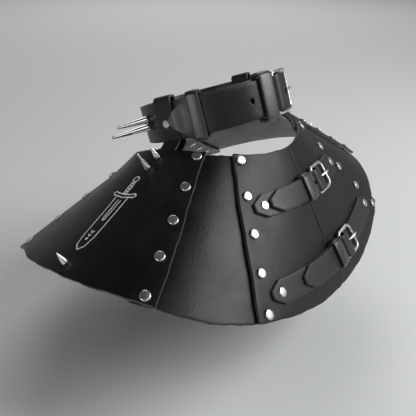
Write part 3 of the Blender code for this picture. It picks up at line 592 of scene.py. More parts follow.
# Row: low and high tone, scuff, roughness, grain depth, specular and scratch strength
STRAP_LOOK = ((0.005, 0.005, 0.005), (0.010, 0.0097, 0.0094), (0.045, 0.044, 0.042),
              (0.34, 0.46), 0.00027, 0.5, 0.40)
FINISHES = {
    "panel_hide": leather("panel_hide", (0.0022, 0.0024, 0.0026), (0.0042, 0.0045, 0.0048),
                          (0.024, 0.024, 0.025), (0.34, 0.44), 0.00020, 0.34, 0.30),
    "strap_hide": leather("strap_hide", *STRAP_LOOK),
    # The collar strap carries the tip's patch of worn dye and painted sheen
    "collar_hide": leather("collar_hide", *STRAP_LOOK, TIP_WEAR_AND_SHEEN_PATCH),
    # Keepers: the strap leather painted about twice as pale, a painted sheen for the light on
    # their bulged faces, with a higher specular
    "keeper_sheen_hide": leather("keeper_sheen_hide", (0.012, 0.012, 0.012), (0.022, 0.0215, 0.021),
                           (0.055, 0.054, 0.052), (0.30, 0.40), 0.00024, 0.9, 0.40),
    # Cut edges: a raw grey made paler still, partly the edge's own colour and partly a painted
    # highlight line along it
    "cut_edge_and_highlight": leather("cut_edge_and_highlight", (0.040, 0.040, 0.041), (0.085, 0.085, 0.086),
                        (0.13, 0.13, 0.13), (0.38, 0.52), 0.00020, 0.5, 0.5),
    "nickel": plated("nickel", (0.66, 0.645, 0.63), (0.25, 0.34)),
    "chrome": plated("chrome", (0.78, 0.78, 0.785), (0.05, 0.10)),
    "white_ink": ink("white_ink", (0.93, 0.94, 0.95), 0.6),
}


# Piece helpers

TURN_SIDES = 40
STRAP_RIVET_SIDES = 36
FOLD_SIDES = 32
HOLE_SIDES = 28


def add_piece(name, data, materials, nodes=()):
    """Put mesh data in the scene as a piece that rides on the body."""
    item = bpy.data.objects.new(name, data)
    bpy.context.scene.collection.objects.link(item)
    for material in materials:
        data.materials.append(FINISHES[material])
    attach(item, "root")
    if nodes:
        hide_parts(*nodes)
    return item


def smooth_data(bm, name):
    """Mesh data with smooth faces, from a bmesh that isn't needed further."""
    data = bpy.data.meshes.new(name)
    bm.to_mesh(data)
    bm.free()
    data.shade_smooth()
    return data


def mesh_from(bm, name, smooth_angle=40.0):
    """Mesh data of closed bodies with their faces out and their sharp edges marked."""
    bmesh.ops.remove_doubles(bm, verts=bm.verts, dist=1e-7)
    bmesh.ops.recalc_face_normals(bm, faces=bm.faces)
    data = smooth_data(bm, name)
    data.set_sharp_from_angle(angle=math.radians(smooth_angle))
    return data


def map_sheet(bm, columns, rows, point):
    """Grid whose corners go where point(share along, share across) puts them."""
    grid = bmesh.ops.create_grid(bm, x_segments=columns, y_segments=rows, size=0.5)
    for vert in grid["verts"]:
        vert.co = point(vert.co.x + 0.5, vert.co.y + 0.5)
    return grid["verts"]


def outward_sheet(bm, near, outward):
    """Turn an open sheet's faces so that the one nearest a point faces outward."""
    bm.normal_update()
    face = min(bm.faces, key=lambda face: (face.calc_center_median() - near).length)
    if face.normal.dot(outward) < 0.0:
        bmesh.ops.reverse_faces(bm, faces=bm.faces)


def round_edges(item, width, least_angle):
    """Round a piece's sharp edges, as rubbing does."""
    edges = item.modifiers.new("round_edges", "BEVEL")
    edges.width = width
    edges.segments = 3
    edges.limit_method = "ANGLE"
    edges.angle_limit = math.radians(least_angle)


def add_hide(name, bm, thickness, round_edge, nodes=(), finish="strap_hide"):
    """Put an open sheet in the scene as leather, with its thickness and cut edges."""
    item = add_piece(name, smooth_data(bm, name), (finish, "cut_edge_and_highlight"), nodes)
    wall = item.modifiers.new("thickness", "SOLIDIFY")
    wall.thickness = thickness
    wall.offset = -1.0
    wall.use_even_offset = True
    # The rim faces get the pale edge finish, which is partly a painted highlight
    wall.material_offset_rim = 1
    round_edges(item, round_edge, 50.0)
    return item


def add_metal(name, bm, finish, nodes=()):
    """Put closed metal bodies in the scene as one piece."""
    add_piece(name, mesh_from(bm, name, 50.0), (finish,), nodes)


def add_turned(bm, profile, sides, matrix):
    """Body turned round a frame's Z from (radius, height) points that end on the axis."""
    old = set(bm.verts)
    verts = [bm.verts.new((radius, 0.0, height)) for radius, height in profile]
    edges = [bm.edges.new(pair) for pair in zip(verts, verts[1:])]
    bmesh.ops.spin(bm, geom=verts + edges, cent=(0.0, 0.0, 0.0), axis=(0.0, 0.0, 1.0),
                   angle=2.0 * math.pi, steps=sides, use_merge=True)
    fresh = [vert for vert in bm.verts if vert not in old]
    bmesh.ops.transform(bm, matrix=matrix, verts=fresh)


def add_pin(bm, matrix, radius, low, high, sides):
    """Round bar between two heights of a frame."""
    middle = Matrix.Translation((0.0, 0.0, (low + high) / 2.0))
    bmesh.ops.create_cone(bm, cap_ends=True, segments=sides, radius1=radius, radius2=radius,
                          depth=high - low, matrix=matrix @ middle)


def add_bar(bm, points, radii, sides, closed=False):
    """Round bar along points, as rings of a swept circle bridged in order."""
    count = len(points)
    rings = []
    up = None
    for i, point in enumerate(points):
        before = points[i - 1] if closed or i else points[i]
        after = points[(i + 1) % count] if closed or i < count - 1 else points[i]
        along = (after - before).normalized()
        if up is None:
            up = along.orthogonal().normalized()
        up = (up - along * up.dot(along)).normalized()
        matrix = frame_matrix(point, up, along)
        circle = bmesh.ops.create_circle(bm, segments=sides, radius=radii[i], matrix=matrix)
        rings.append(circle["verts"])
    pairs = list(zip(rings, rings[1:]))
    if closed:
        pairs.append((rings[-1], rings[0]))
    for first, second in pairs:
        edges = {edge for vert in first for edge in vert.link_edges
                 if edge.other_vert(vert) in first}
        edges |= {edge for vert in second for edge in vert.link_edges
                  if edge.other_vert(vert) in second}
        bmesh.ops.bridge_loops(bm, edges=list(edges))
    if not closed:
        for ring in (rings[0], rings[-1]):
            bmesh.ops.contextual_create(bm, geom=ring)


def smooth_path(points, steps):
    """Points of a soft curve through a row of points."""
    path = []
    last = len(points) - 1
    for i in range(last):
        p0 = points[max(0, i - 1)]
        p1 = points[i]
        p2 = points[i + 1]
        p3 = points[min(last, i + 2)]
        for k in range(steps):
            t = k / steps
            path.append(0.5 * (2.0 * p1 + (p2 - p0) * t
                               + (2.0 * p0 - 5.0 * p1 + 4.0 * p2 - p3) * t ** 2
                               + (3.0 * p1 - p0 - 3.0 * p2 + p3) * t ** 3))
    path.append(points[-1])
    return path


def cut_with(item, bm, label):
    """Cut a helper body out of a piece and keep only the result."""
    helper = bpy.data.objects.new(label, mesh_from(bm, label))
    bpy.context.scene.collection.objects.link(helper)
    cut = item.modifiers.new(label, "BOOLEAN")
    cut.operation = "DIFFERENCE"
    cut.solver = "EXACT"
    cut.object = helper
    depsgraph = bpy.context.evaluated_depsgraph_get()
    item.data = bpy.data.meshes.new_from_object(item.evaluated_get(depsgraph))
    item.modifiers.clear()
    bpy.data.objects.remove(helper, do_unlink=True)


# Mantle

PANEL_ROWS = 60
COLUMNS_PER_DEGREE = 1.5
# Waves of a cut edge: height, radians a metre, and shift from edge to edge
CUT_WAVES = ((0.00042, 61.0, 2.3), (0.00026, 173.0, 5.1), (0.00012, 419.0, 1.7))
CUT_RADIUS = 0.19
NECK_CUT_SHARE = 0.6
EDGE_POWER = 6
HEM_POWER = 8


def edge_angles(seam, side, grow):
    """Hem angles at the neck and hem ends of a panel edge, past a seam."""
    end = CLOSURE_HEM_ANGLE
    margins = (CLOSURE_GAP / 2.0, CLOSURE_GAP / 2.0)
    if seam != "closure":
        end = on_side(side, SEAM_ANGLES[seam][1])
        margins = (MARGIN_NECK, MARGIN_HEM)
    return tuple(end + grow * angle_margin(end, down, margin)
                 for down, margin in enumerate(margins))


def panel_rows():
    """Name, edges, layer and drawn-out corner's hem angle of each panel."""
    start = tuple(angle - 360.0 for angle in edge_angles("front", "right", -1.0))
    rows = [("panel_front", start, edge_angles("front", "left", 1.0), False, None)]
    pairs = (
        ("shoulder", ("front", -1.0), ("side", 1.0), True),
        ("side", ("side", -1.0), ("back", 1.0), False),
        ("back", ("back", -1.0), ("closure", -1.0), True),
    )
    for label, (first, grow0), (last, grow1), upper in pairs:
        for side, sign in SIDES:
            near = edge_angles(first, side, sign * grow0)
            far = edge_angles(last, side, sign * grow1)
            start, end = (near, far) if side == "left" else (far, near)
            corner = near[1] if label == "shoulder" else None
            rows.append(("panel_%s_%s" % (label, side), start, end, upper, corner))
    return rows


def corner_share(angle, corner):
    """Share of the panel's length that its hem is drawn out by, beside a corner."""
    if corner is None:
        return 0.0
    reach = angle_margin(corner, 1.0, CORNER_REACH)
    nearness = max(0.0, 1.0 - abs(angle - corner) / reach)
    return CORNER_POINT / panel_length(corner) * nearness ** 2


def rivet_places():
    """Hem angle and share down of each seam rivet, by seam and side."""
    places = {}
    for seam, (_, hem) in SEAM_ANGLES.items():
        for side, _ in SIDES:
            angle = on_side(side, hem)
            inset = RIVET_INSET / panel_length(angle)
            shares = [i / (RIVETS_PER_SEAM - 1) for i in range(RIVETS_PER_SEAM)]
            places[seam, side] = [(angle, blend(inset, 1.0 - inset, share)) for share in shares]
    return places


def pressed_points():
    """Points of the mantle that rivets and spikes press in."""
    spots = [spot for row in rivet_places().values() for spot in row]
    spots += [(on_side(side, hem), down) for side, _, down, hem, _ in PANEL_SPIKES]
    return [surface_point(*spot) for spot in spots]


PRESSED = pressed_points()
DIMPLE_DEPTH = 0.00042
DIMPLE_RADIUS = 0.0052


def dimple(point):
    """Depth that a fastener near a point presses the hide in."""
    depth = 0.0
    for middle in PRESSED:
        away = (point - middle).length
        if away < 3.0 * DIMPLE_RADIUS:
            depth = max(depth, DIMPLE_DEPTH * math.exp(-(away / DIMPLE_RADIUS) ** 2))
    return depth


def hand_cut(along, seed):
    """Wander of a knife cut at a distance along an edge."""
    return sum(height * math.sin(along * pitch + seed * shift)
               for height, pitch, shift in CUT_WAVES)


def make_panel(number, name, start, end, upper, corner):
    """Curved leather panel between two edges of (neck end, hem end) hem angles."""
    layer = 0.0 if upper else -(PANEL_THICKNESS + LAYER_GAP)

    def point(across, down):
        first = blend(start[0], start[1], down)
        last = blend(end[0], end[1], down)
        angle = blend(first, last, across)
        down *= 1.0 + corner_share(angle, corner)
        length = panel_length(angle)
        if name != "panel_back_left" or across < 0.5:
            wander = hand_cut(down * length, number + 3.0 * round(across))
            near = abs(across - 0.5) * 2.0
            sign = 1.0 if across > 0.5 else -1.0
            angle += sign * angle_margin(angle, down, wander) * near ** EDGE_POWER
        reach = hand_cut(math.radians(angle) * CUT_RADIUS, number) / length
        share = down ** HEM_POWER - NECK_CUT_SHARE * (1.0 - down) ** HEM_POWER
        down += reach * share
        bare = surface_point(angle, down)
        return bare + surface_axes(angle, down)[2] * (layer - dimple(bare))

    bm = bmesh.new()
    columns = max(20, round((end[1] - start[1]) * COLUMNS_PER_DEGREE))
    map_sheet(bm, columns, PANEL_ROWS, point)
    middle = (start[1] + end[1]) / 2.0
    outward_sheet(bm, surface_point(middle, 0.5), surface_axes(middle, 0.5)[2])
    add_hide(name + "_hide", bm, PANEL_THICKNESS, 0.0006, (name,), "panel_hide")


def cap_profile(radius, height):
    """Low crowned cap with a rolled rim, from its underside to the axis."""
    rim = [(CAP_INNER_SHARE * radius, -CAP_SINK)]
    return rim + [(across * radius, up * height) for across, up in CAP_OUTLINE]


def rivet_profile(back):
    """Double cap rivet, from the axis behind the leather to the axis in front."""
    low = BACK_SHARE * RIVET_RADIUS
    return ([(across * low, back + up) for across, up in BACK_OUTLINE]
            + [(SHANK_RADIUS, back), (SHANK_RADIUS, -CAP_SINK)]
            + cap_profile(RIVET_RADIUS, RIVET_HEIGHT))


def make_rivets():
    """The rivets of each seam, one piece for each side."""
    back = -(2.0 * PANEL_THICKNESS + LAYER_GAP) - GAP
    for (seam, side), places in rivet_places().items():
        bm = bmesh.new()
        for place in places:
            add_turned(bm, rivet_profile(back), TURN_SIDES, surface_frame(*place))
        names = ["rivet_%s_%s_%d" % (seam, side, i + 1) for i in range(len(places))]
        add_metal("rivets_%s_%s" % (seam, side), bm, "nickel", names)


def spike_profile(radius, tip, length, back):
    """Cone spike with a short skirt and a rounded tip, and its screw behind."""
    profile = [(across, back + up) for across, up in SCREW_OUTLINE]
    profile.append((profile[-1][0], SKIRT_OUTLINE[0][1]))
    profile += [(across * radius, up) for across, up in SKIRT_OUTLINE]
    width, start = profile[-1]
    for share in (0.3, 0.6, 0.9):
        profile.append((blend(width, tip, share), blend(start, length - tip, share)))
    for turn in (0.0, 30.0, 60.0):
        angle = math.radians(turn)
        profile.append((tip * math.cos(angle), length + tip * (math.sin(angle) - 1.0)))
    profile.append((0.0, length))
    return profile


def make_spike(name, matrix, radius, tip, length, back):
    """One polished cone spike."""
    bm = bmesh.new()
    add_turned(bm, spike_profile(radius, tip, length, back), TURN_SIDES, matrix)
    add_metal(name + "_cone", bm, "chrome", (name,))


def make_mantle():
    """Panels, rivets and shoulder spikes."""
    for number, row in enumerate(panel_rows()):
        make_panel(number, *row)
    make_rivets()
    for side, number, down, hem, length in PANEL_SPIKES:
        back = -PANEL_THICKNESS - GAP
        if number < 3:
            back = -(PANEL_THICKNESS + HANGER_TAB_GAP + 2.0 * HANGER_THICKNESS + 2.0 * GAP)
        make_spike("spike_%s_%d" % (side, number), surface_frame(on_side(side, hem), down),
                   PANEL_SPIKE_RADIUS, PANEL_SPIKE_TIP, length, back)


# Sword drawn in white on each shoulder

SWORD_LINE = 0.00100
SWORD_HEIGHT = 0.00006
SWORD_OVERLAP = 0.3
SWORD_STEP = 0.002
SWORD_PLACE = (0.240, 86.6)
SWORD_TIP = (0.825, 80.6)
SWORD_POMMEL = 0.0026
SWORD_GUARD = 0.0205
SWORD_BLADE = 0.0066
SWORD_POINT = 0.0300
# Half of the guard: distance along from the guard's front, and distance across
GUARD_OUTLINE = (
    (-0.0022, 0.0004), (-0.0028, 0.0070), (-0.0040, 0.0108), (-0.0024, 0.0128),
    (-0.0004, 0.0112), (0.0, 0.0070), (0.0010, 0.0004),
)


def sword_frame(side):
    """Place function of a sword, from a distance along it and across, and its length."""
    (down0, hem0), (down1, hem1) = SWORD_PLACE, SWORD_TIP
    length = (surface_point(hem1, down1) - surface_point(hem0, down0)).length

    def place(along, across):
        down = blend(down0, down1, along / length)
        hem = blend(hem0, hem1, along / length)
        angle = on_side(side, hem + angle_margin(hem, down, across))
        return surface_point(angle, down), surface_axes(angle, down)[2]

    return place, length


def sword_strokes(length):
    """Strokes of the drawing as rows of (along, across) points in metres."""
    turns = [math.pi * i / 8.0 for i in range(17)]
    strokes = [[(SWORD_POMMEL * (1.0 - math.cos(turn)), SWORD_POMMEL * math.sin(turn))
                for turn in turns]]
    guard = SWORD_GUARD
    groove = length - SWORD_POINT
    for sign in (-1.0, 1.0):
        blade = sign * SWORD_BLADE
        strokes.append([(0.0052, sign * 0.0014), (0.0110, sign * 0.0021),
                        (guard - 0.0022, sign * 0.0015)])
        strokes.append([(guard + 0.0012, blade), (length - 0.0130, blade * 0.94),
                        (length - 0.0040, blade * 0.68), (length, 0.0)])
        strokes.append([(guard + 0.0040, sign * 0.0016), (groove, sign * 0.0012)])
        strokes.append([(guard + along, sign * across) for along, across in GUARD_OUTLINE])
    strokes.append([(groove, -0.0012), (groove + 0.0015, 0.0), (groove, 0.0012)])
    for i in range(5):
        start = 0.0062 + 0.0026 * i
        strokes.append([(start, -0.0016), (start + 0.0020, 0.0018)])
    for i in range(3):
        start = length - 0.0180 + 0.0034 * i
        half = 0.0016 - 0.0004 * i
        strokes.append([(start, -half), (start + 0.0016, 0.0), (start, half)])
    return strokes


def draw_line(bm, place, start, end):
    """Straight raised line between two (along, across) points of a drawing."""
    span = (end - start).length
    over = SWORD_LINE * SWORD_OVERLAP / span
    beside = Vector((start.y - end.y, end.x - start.x)) / span * SWORD_LINE

    def point(share, across):
        spot = start.lerp(end, blend(-over, 1.0 + over, share)) + beside * (across - 0.5)
        bare, normal = place(*spot)
        return bare + normal * (SWORD_HEIGHT - dimple(bare))

    fresh = map_sheet(bm, max(1, round(span / SWORD_STEP)), 1, point)
    bm.normal_update()
    outward = place(*start.lerp(end, 0.5))[1]
    faces = {face for vert in fresh for face in vert.link_faces}
    turned = [face for face in faces if face.normal.dot(outward) < 0.0]
    bmesh.ops.reverse_faces(bm, faces=turned)


def make_sword(side):
    """Raised ink lines of the sword, laid on the shoulder panel."""
    place, length = sword_frame(side)
    bm = bmesh.new()
    for stroke in sword_strokes(length):
        for first, last in zip(stroke, stroke[1:]):
            draw_line(bm, place, Vector(first), Vector(last))
    name = "sword_drawing_" + side
    add_piece(name, smooth_data(bm, name), ("white_ink",))


# Straps

STRAP_ROWS = 8
COLLAR_STEP = 0.0018
CLOSURE_STEP = 0.00125
KEEPER_ROWS = 6
KEEPER_TURNS = 6


def make_strap_sheet(bm, place, start, end, out, half, step):
    """Sheet of a strap's outer face between two distances."""
    columns = max(4, round(abs(end - start) / step))

    def point(share, across):
        distance = blend(start, end, share)
        return place(distance, out(distance), half(distance) * (2.0 * across - 1.0))

    map_sheet(bm, columns, STRAP_ROWS, point)
    middle = blend(start, end, 0.5)
    outward_sheet(bm, place(middle, out(middle), 0.0),
                  place(middle, 1.0, 0.0) - place(middle, 0.0, 0.0))


def make_keeper(name, place, distance, width, half, heights, thickness, round_edge, nodes=()):
    """Leather loop round everything between two heights of a strap."""
    matrix = route_frame(place, distance)
    reach = half - KEEPER_CORNER
    low, high = heights[0] + KEEPER_CORNER, heights[1] - KEEPER_CORNER
    path = []
    for quarter, (across, out) in enumerate(((reach, high), (-reach, high), (-reach, low),
                                             (reach, low))):
        for i in range(KEEPER_TURNS + 1):
            turn = math.radians(90.0 * (quarter + i / KEEPER_TURNS))
            path.append(Vector((across + KEEPER_CORNER * math.cos(turn),
                                out + KEEPER_CORNER * math.sin(turn))))
    count = len(path)

    def point(share, across):
        i = round(share * count) % count
        along = (path[(i + 1) % count] - path[i - 1]).normalized()
        out = thickness + KEEPER_BULGE * (1.0 - (2.0 * across - 1.0) ** 2)
        spot = path[i] + Vector((along.y, -along.x)) * out
        return matrix @ Vector(((across - 0.5) * width, *spot))

    bm = bmesh.new()
    map_sheet(bm, count, KEEPER_ROWS, point)
    bmesh.ops.remove_doubles(bm, verts=bm.verts, dist=1e-6)
    bmesh.ops.recalc_face_normals(bm, faces=bm.faces)
    # The keeper's finish is painted paler than the strap, as painted sheen
    add_hide(name, bm, thickness, round_edge, nodes, "keeper_sheen_hide")


def frame_outline(place, heel, front, half_height, heel_corner, front_corner):
    """Centre line of a buckle frame, round its front bar and its heel bar."""
    (s0, out0), (s1, out1) = heel, front
    length = s1 - s0

    def corner_rows(corner):
        turns = [math.radians(15.0 * i) for i in range(7)]
        return [(corner * (1.0 - math.sin(turn)), corner * (1.0 - math.cos(turn)))
                for turn in turns]

    rows = corner_rows(heel_corner)[::-1]
    rows += [(blend(heel_corner, length - front_corner, share), 0.0) for share in BAR_SHARES]
    rows += [(length - along, inset) for along, inset in corner_rows(front_corner)]
    line = []
    for sign, half in ((1.0, rows), (-1.0, rows[::-1])):
        for along, inset in half:
            share = along / length
            line.append(place(blend(s0, s1, share), blend(out0, out1, share),
                              sign * (half_height - inset)))
    return line


def prong_slot(wire):
    """Half width of the slot that a buckle's prong goes through."""
    return wire * PRONG_SHARE + WRAP_GAP


def make_buckle(name, place, heel, front, half_width, wire, cross):
    """Wire frame with its prong closed over the front bar."""
    bm = bmesh.new()
    half_height = half_width + FRAME_CLEARANCE + wire
    line = frame_outline(place, heel, front, half_height, FRAME_CLEARANCE + wire, FRAME_CORNER)
    add_bar(bm, line, [wire] * len(line), 14, closed=True)
    prong = wire * PRONG_SHARE
    over = front[1] + wire + GAP + prong
    rest = (wire + prong) * PRONG_REST_SHARE
    pass_length = PRONG_HOLE_LENGTH * PRONG_PASS_SHARE
    route = (
        (heel[0] + wire * PRONG_DROP, heel[1]),
        (cross - pass_length, heel[1] - wire * PRONG_DROP),
        (cross + pass_length, blend(heel[1], over, PRONG_RISE_SHARE)),
        (front[0] - rest, over),
        (front[0] + rest, over),
    )
    path = smooth_path([place(s, out, 0.0) for s, out in route], 6)
    last = len(path) - 1
    radii = [prong * (1.0 - 0.25 * (i / last) ** 3) for i in range(last)] + [prong * 0.45]
    add_bar(bm, path, radii, 12)
    add_metal(name + "_wire", bm, "nickel", (name,))


def add_strap_rivet(bm, matrix, radius, height):
    """Cap of a rivet that holds a strap's end, with its shank."""
    width, depth = STRAP_SHANK
    shank = SHANK_RADIUS * radius / RIVET_RADIUS
    profile = [(0.0, -depth), (width, -depth), (shank, -CAP_SINK)]
    add_turned(bm, profile + cap_profile(radius, height), STRAP_RIVET_SIDES, matrix)


def fold_level(wire):
    """Height of a heel bar's middle above the face that its fold lies on."""
    return wire + GAP + FOLD_THICKNESS


def add_slot(bm, place, cross, half, wire):
    """Box where a buckle's prong crosses a strap."""
    size = Matrix.Diagonal((PRONG_HOLE_LENGTH, 2.0 * prong_slot(wire), 2.0 * half, 1.0))
    bmesh.ops.create_cube(bm, size=1.0, matrix=route_frame(place, cross) @ size)


def make_fold(name, place, heel, half_width, wire):
    """Round end of a strap that is folded about a heel bar, in two halves."""
    matrix = route_frame(place, heel[0]) @ Matrix.Translation((0.0, 0.0, heel[1]))
    matrix = matrix @ Matrix.Rotation(math.pi / 2.0, 4, "X")
    slot = prong_slot(wire)
    bm = bmesh.new()
    for low, high in ((slot, half_width), (-half_width, -slot)):
        add_pin(bm, matrix, fold_level(wire), low, high, FOLD_SIDES)
    fold = add_piece(name, mesh_from(bm, name), ("strap_hide",))
    round_edges(fold, 0.0005, 40.0)


def billet_half(width, tip_distance, distance, tip_length):
    """Half width of a strap with a rounded point at its tip."""
    share = min(1.0, abs(distance - tip_distance) / tip_length)
    rise = math.sin(share * math.pi / 2.0) ** COLLAR_TIP_CURVE
    return width / 2.0 * blend(COLLAR_TIP_SHARE, 1.0, rise)


def collar_out(distance):
    """Height of the collar strap's inner face at a distance along it."""
    angle = -math.degrees(distance / COLLAR_INNER_RADIUS)
    second = COLLAR_THICKNESS + WRAP_GAP
    over_fold = 2.0 * fold_level(COLLAR_WIRE) + WRAP_GAP
    flat_rise = HANGER_WIDTH ** 2 / (8.0 * COLLAR_INNER_RADIUS)
    over_hanger = second + HANGER_THICKNESS + HANGER_OUTSIDE_GAP + flat_rise
    at_heel = 360.0 - COLLAR_HEEL_ANGLE
    at_hanger = 360.0 - HANGER_ANGLE
    return table_value(angle, (
        (360.0 - COLLAR_CROSS_ANGLE - PRONG_FLAT_ANGLE, 0.0),
        (at_heel - FOLD_LIFT_ANGLE, over_fold),
        (at_heel + FOLD_HALF_ANGLE, over_fold),
        (at_heel + FOLD_DROP_ANGLE, second),
        (at_hanger - HANGER_LIFT_ANGLE, second),
        (at_hanger - HANGER_HALF_ANGLE, over_hanger),
    ))


def make_collar_strap():
    """Neck strap in one length, from its folded heel round to the billet's tip."""
    half = COLLAR_WIDTH / 2.0
    tip = collar_distance(COLLAR_TIP_ANGLE - 360.0)
    heel = (collar_distance(COLLAR_HEEL_ANGLE), fold_level(COLLAR_WIRE))
    cross = collar_distance(COLLAR_CROSS_ANGLE)
    at_front = 360.0 - COLLAR_FRONT_ANGLE
    widths = (
        (HEEL_TAPER_ANGLES[0] - COLLAR_HEEL_ANGLE, COLLAR_BILLET_WIDTH),
        (HEEL_TAPER_ANGLES[1] - COLLAR_HEEL_ANGLE, COLLAR_WIDTH),
        (at_front - TAPER_START_ANGLE, COLLAR_WIDTH),
        (at_front - TAPER_END_ANGLE, COLLAR_BILLET_WIDTH),
    )

    def half_here(distance):
        angle = -math.degrees(distance / COLLAR_INNER_RADIUS)
        return billet_half(table_value(angle, widths), tip, distance, COLLAR_TIP_LENGTH)

    bm = bmesh.new()
    make_strap_sheet(bm, collar_place, tip, heel[0],
                     lambda distance: collar_out(distance) + COLLAR_THICKNESS, half_here,
                     COLLAR_STEP)
    strap = add_hide("collar_strap_hide", bm, COLLAR_THICKNESS, 0.0006, ("collar_strap",),
                     "collar_hide")
    bm = bmesh.new()
    for angle in COLLAR_HOLE_ANGLES:
        low = COLLAR_THICKNESS + WRAP_GAP / 2.0 if angle < COLLAR_HEEL_ANGLE else -half
        add_pin(bm, route_frame(collar_place, collar_distance(angle)), COLLAR_HOLE_RADIUS,
                low, half, HOLE_SIDES)
    cut_with(strap, bm, "collar_holes")
    bm = bmesh.new()
    add_slot(bm, collar_place, cross, half, COLLAR_WIRE)
    cut_with(strap, bm, "collar_prong_slot")

    end_half = COLLAR_BILLET_WIDTH / 2.0
    make_fold("collar_fold", collar_place, heel, end_half, COLLAR_WIRE)
    front = (collar_distance(COLLAR_FRONT_ANGLE), COLLAR_THICKNESS + GAP + COLLAR_WIRE)
    make_buckle("collar_buckle", collar_place, heel, front, end_half, COLLAR_WIRE, cross)


def make_collar():
    """Neck strap with its keepers and long spikes."""
    make_collar_strap()
    half = COLLAR_WIDTH / 2.0 + COLLAR_KEEPER_GAP
    heights = (-WRAP_GAP, 2.0 * COLLAR_THICKNESS + 2.0 * WRAP_GAP)
    for label, (angle, width) in COLLAR_KEEPERS.items():
        name = "collar_keeper_" + label
        make_keeper(name + "_hide", collar_place, collar_distance(angle), width, half, heights,
                    COLLAR_KEEPER_THICKNESS, 0.0005, (name,))
    for side, sign in SIDES:
        for number, angle, height, length in COLLAR_SPIKES:
            foot = Matrix.Translation((0.0, height, COLLAR_THICKNESS))
            matrix = route_frame(collar_place, collar_distance(sign * angle)) @ foot
            make_spike("collar_spike_%s_%d" % (side, number), matrix, COLLAR_SPIKE_RADIUS,
                       COLLAR_SPIKE_TIP, length, -COLLAR_THICKNESS - GAP)


def hanger_depth(layer):
    """Depth of the middle of a hanger tab below the mantle's outer face."""
    step = HANGER_THICKNESS + GAP
    return PANEL_THICKNESS + HANGER_TAB_GAP + HANGER_THICKNESS / 2.0 + layer * step


def hanger_path(side, distance):
    """Middle points and width directions of a hanger, from outer to inner tab."""
    hem = on_side(side, HANGER_HEM_ANGLE)
    length = panel_length(hem)
    tab_side = surface_axes(hem, 0.0)[0]
    collar_side = route_frame(collar_place, distance).col[0].to_3d()
    top = COLLAR_WIDTH / 2.0
    outer = COLLAR_THICKNESS + HANGER_OUTSIDE_GAP + HANGER_THICKNESS / 2.0
    inner = -HANGER_INSIDE_GAP - HANGER_THICKNESS / 2.0
    fold = (outer - inner) / 2.0

    def under(along, layer, drop=0.0):
        return offset_point(hem, along / length, -hanger_depth(layer) - drop), tab_side

    def beside(out, height):
        return collar_place(distance, out, height), collar_side

    line = [under(HANGER_TAB, 0), under(HANGER_TAB * 0.5, 0), under(HANGER_TAB_START, 0)]
    line += [beside(outer, height * top) for height in (-1.0, *HANGER_HEIGHTS)]
    for i in range(1, 6):
        turn = math.pi * i / 6
        line.append(beside(blend(outer, inner, 0.5) + fold * math.cos(turn),
                           top + WRAP_GAP + fold * math.sin(turn)))
    line += [beside(inner, height * top) for height in reversed(HANGER_HEIGHTS)]
    line.append(beside(inner, -top - HANGER_THICKNESS - WRAP_GAP))
    line += [under(-HANGER_TAB_START, 1, HANGER_LEG_SPREAD), under(HANGER_TAB_START, 1),
             under(HANGER_TAB * 0.5, 1), under(HANGER_TAB, 1)]
    return line


def make_hanger(side, sign):
    """Leather strip folded over the collar, with its rivet."""
    distance = collar_distance(sign * HANGER_ANGLE)
    points, sides = (smooth_path(row, 6) for row in zip(*hanger_path(side, distance)))
    count = len(points) - 1

    def point(share, across):
        i = round(share * count)
        along = (points[min(count, i + 1)] - points[max(0, i - 1)]).normalized()
        side_way = (sides[i] - along * sides[i].dot(along)).normalized()
        return (points[i] + side_way * (across - 0.5) * HANGER_WIDTH
                + side_way.cross(along) * HANGER_THICKNESS / 2.0)

    bm = bmesh.new()
    map_sheet(bm, count, STRAP_ROWS, point)
    matrix = route_frame(collar_place, distance)
    outward_sheet(bm, collar_place(distance, COLLAR_THICKNESS + HANGER_THICKNESS, 0.0),
                  matrix.col[2].to_3d())
    add_hide("hanger_%s_hide" % side, bm, HANGER_THICKNESS, 0.0004, ("hanger_" + side,))
    bm = bmesh.new()
    top_face = COLLAR_THICKNESS + HANGER_OUTSIDE_GAP + HANGER_THICKNESS
    foot = Matrix.Translation((0.0, -HANGER_RIVET_DROP, top_face))
    add_strap_rivet(bm, matrix @ foot, *HANGER_RIVET)
    add_metal("hanger_rivet_" + side, bm, "nickel")


def pointed_half(distance, end):
    """Half width of a closure strap with a chamfered end."""
    share = min(1.0, abs(distance - end) / CLOSURE_CHAMFER)
    return CLOSURE_WIDTH / 2.0 * blend(CLOSURE_END_SHARE, 1.0, share)


def make_chape(name, place, start, heel, keeper):
    """Strap that holds the buckle, with its folded heel and its keeper."""
    half = CLOSURE_WIDTH / 2.0
    bm = bmesh.new()
    make_strap_sheet(bm, place, start, heel[0], lambda s: GAP + STRAP_THICKNESS,
                     lambda s: pointed_half(s, start), CLOSURE_STEP)
    add_hide(name + "_chape_hide", bm, STRAP_THICKNESS, 0.0005, (name + "_chape",))
    make_fold(name + "_fold", place, heel, half, CLOSURE_WIRE)
    heights = (GAP + STRAP_THICKNESS - CLOSURE_KEEPER_BITE,
               GAP + 2.0 * STRAP_THICKNESS + 2.0 * WRAP_GAP)
    make_keeper(name + "_keeper", place, keeper, CLOSURE_KEEPER_WIDTH, half + WRAP_GAP, heights,
                CLOSURE_KEEPER_THICKNESS, 0.0004)


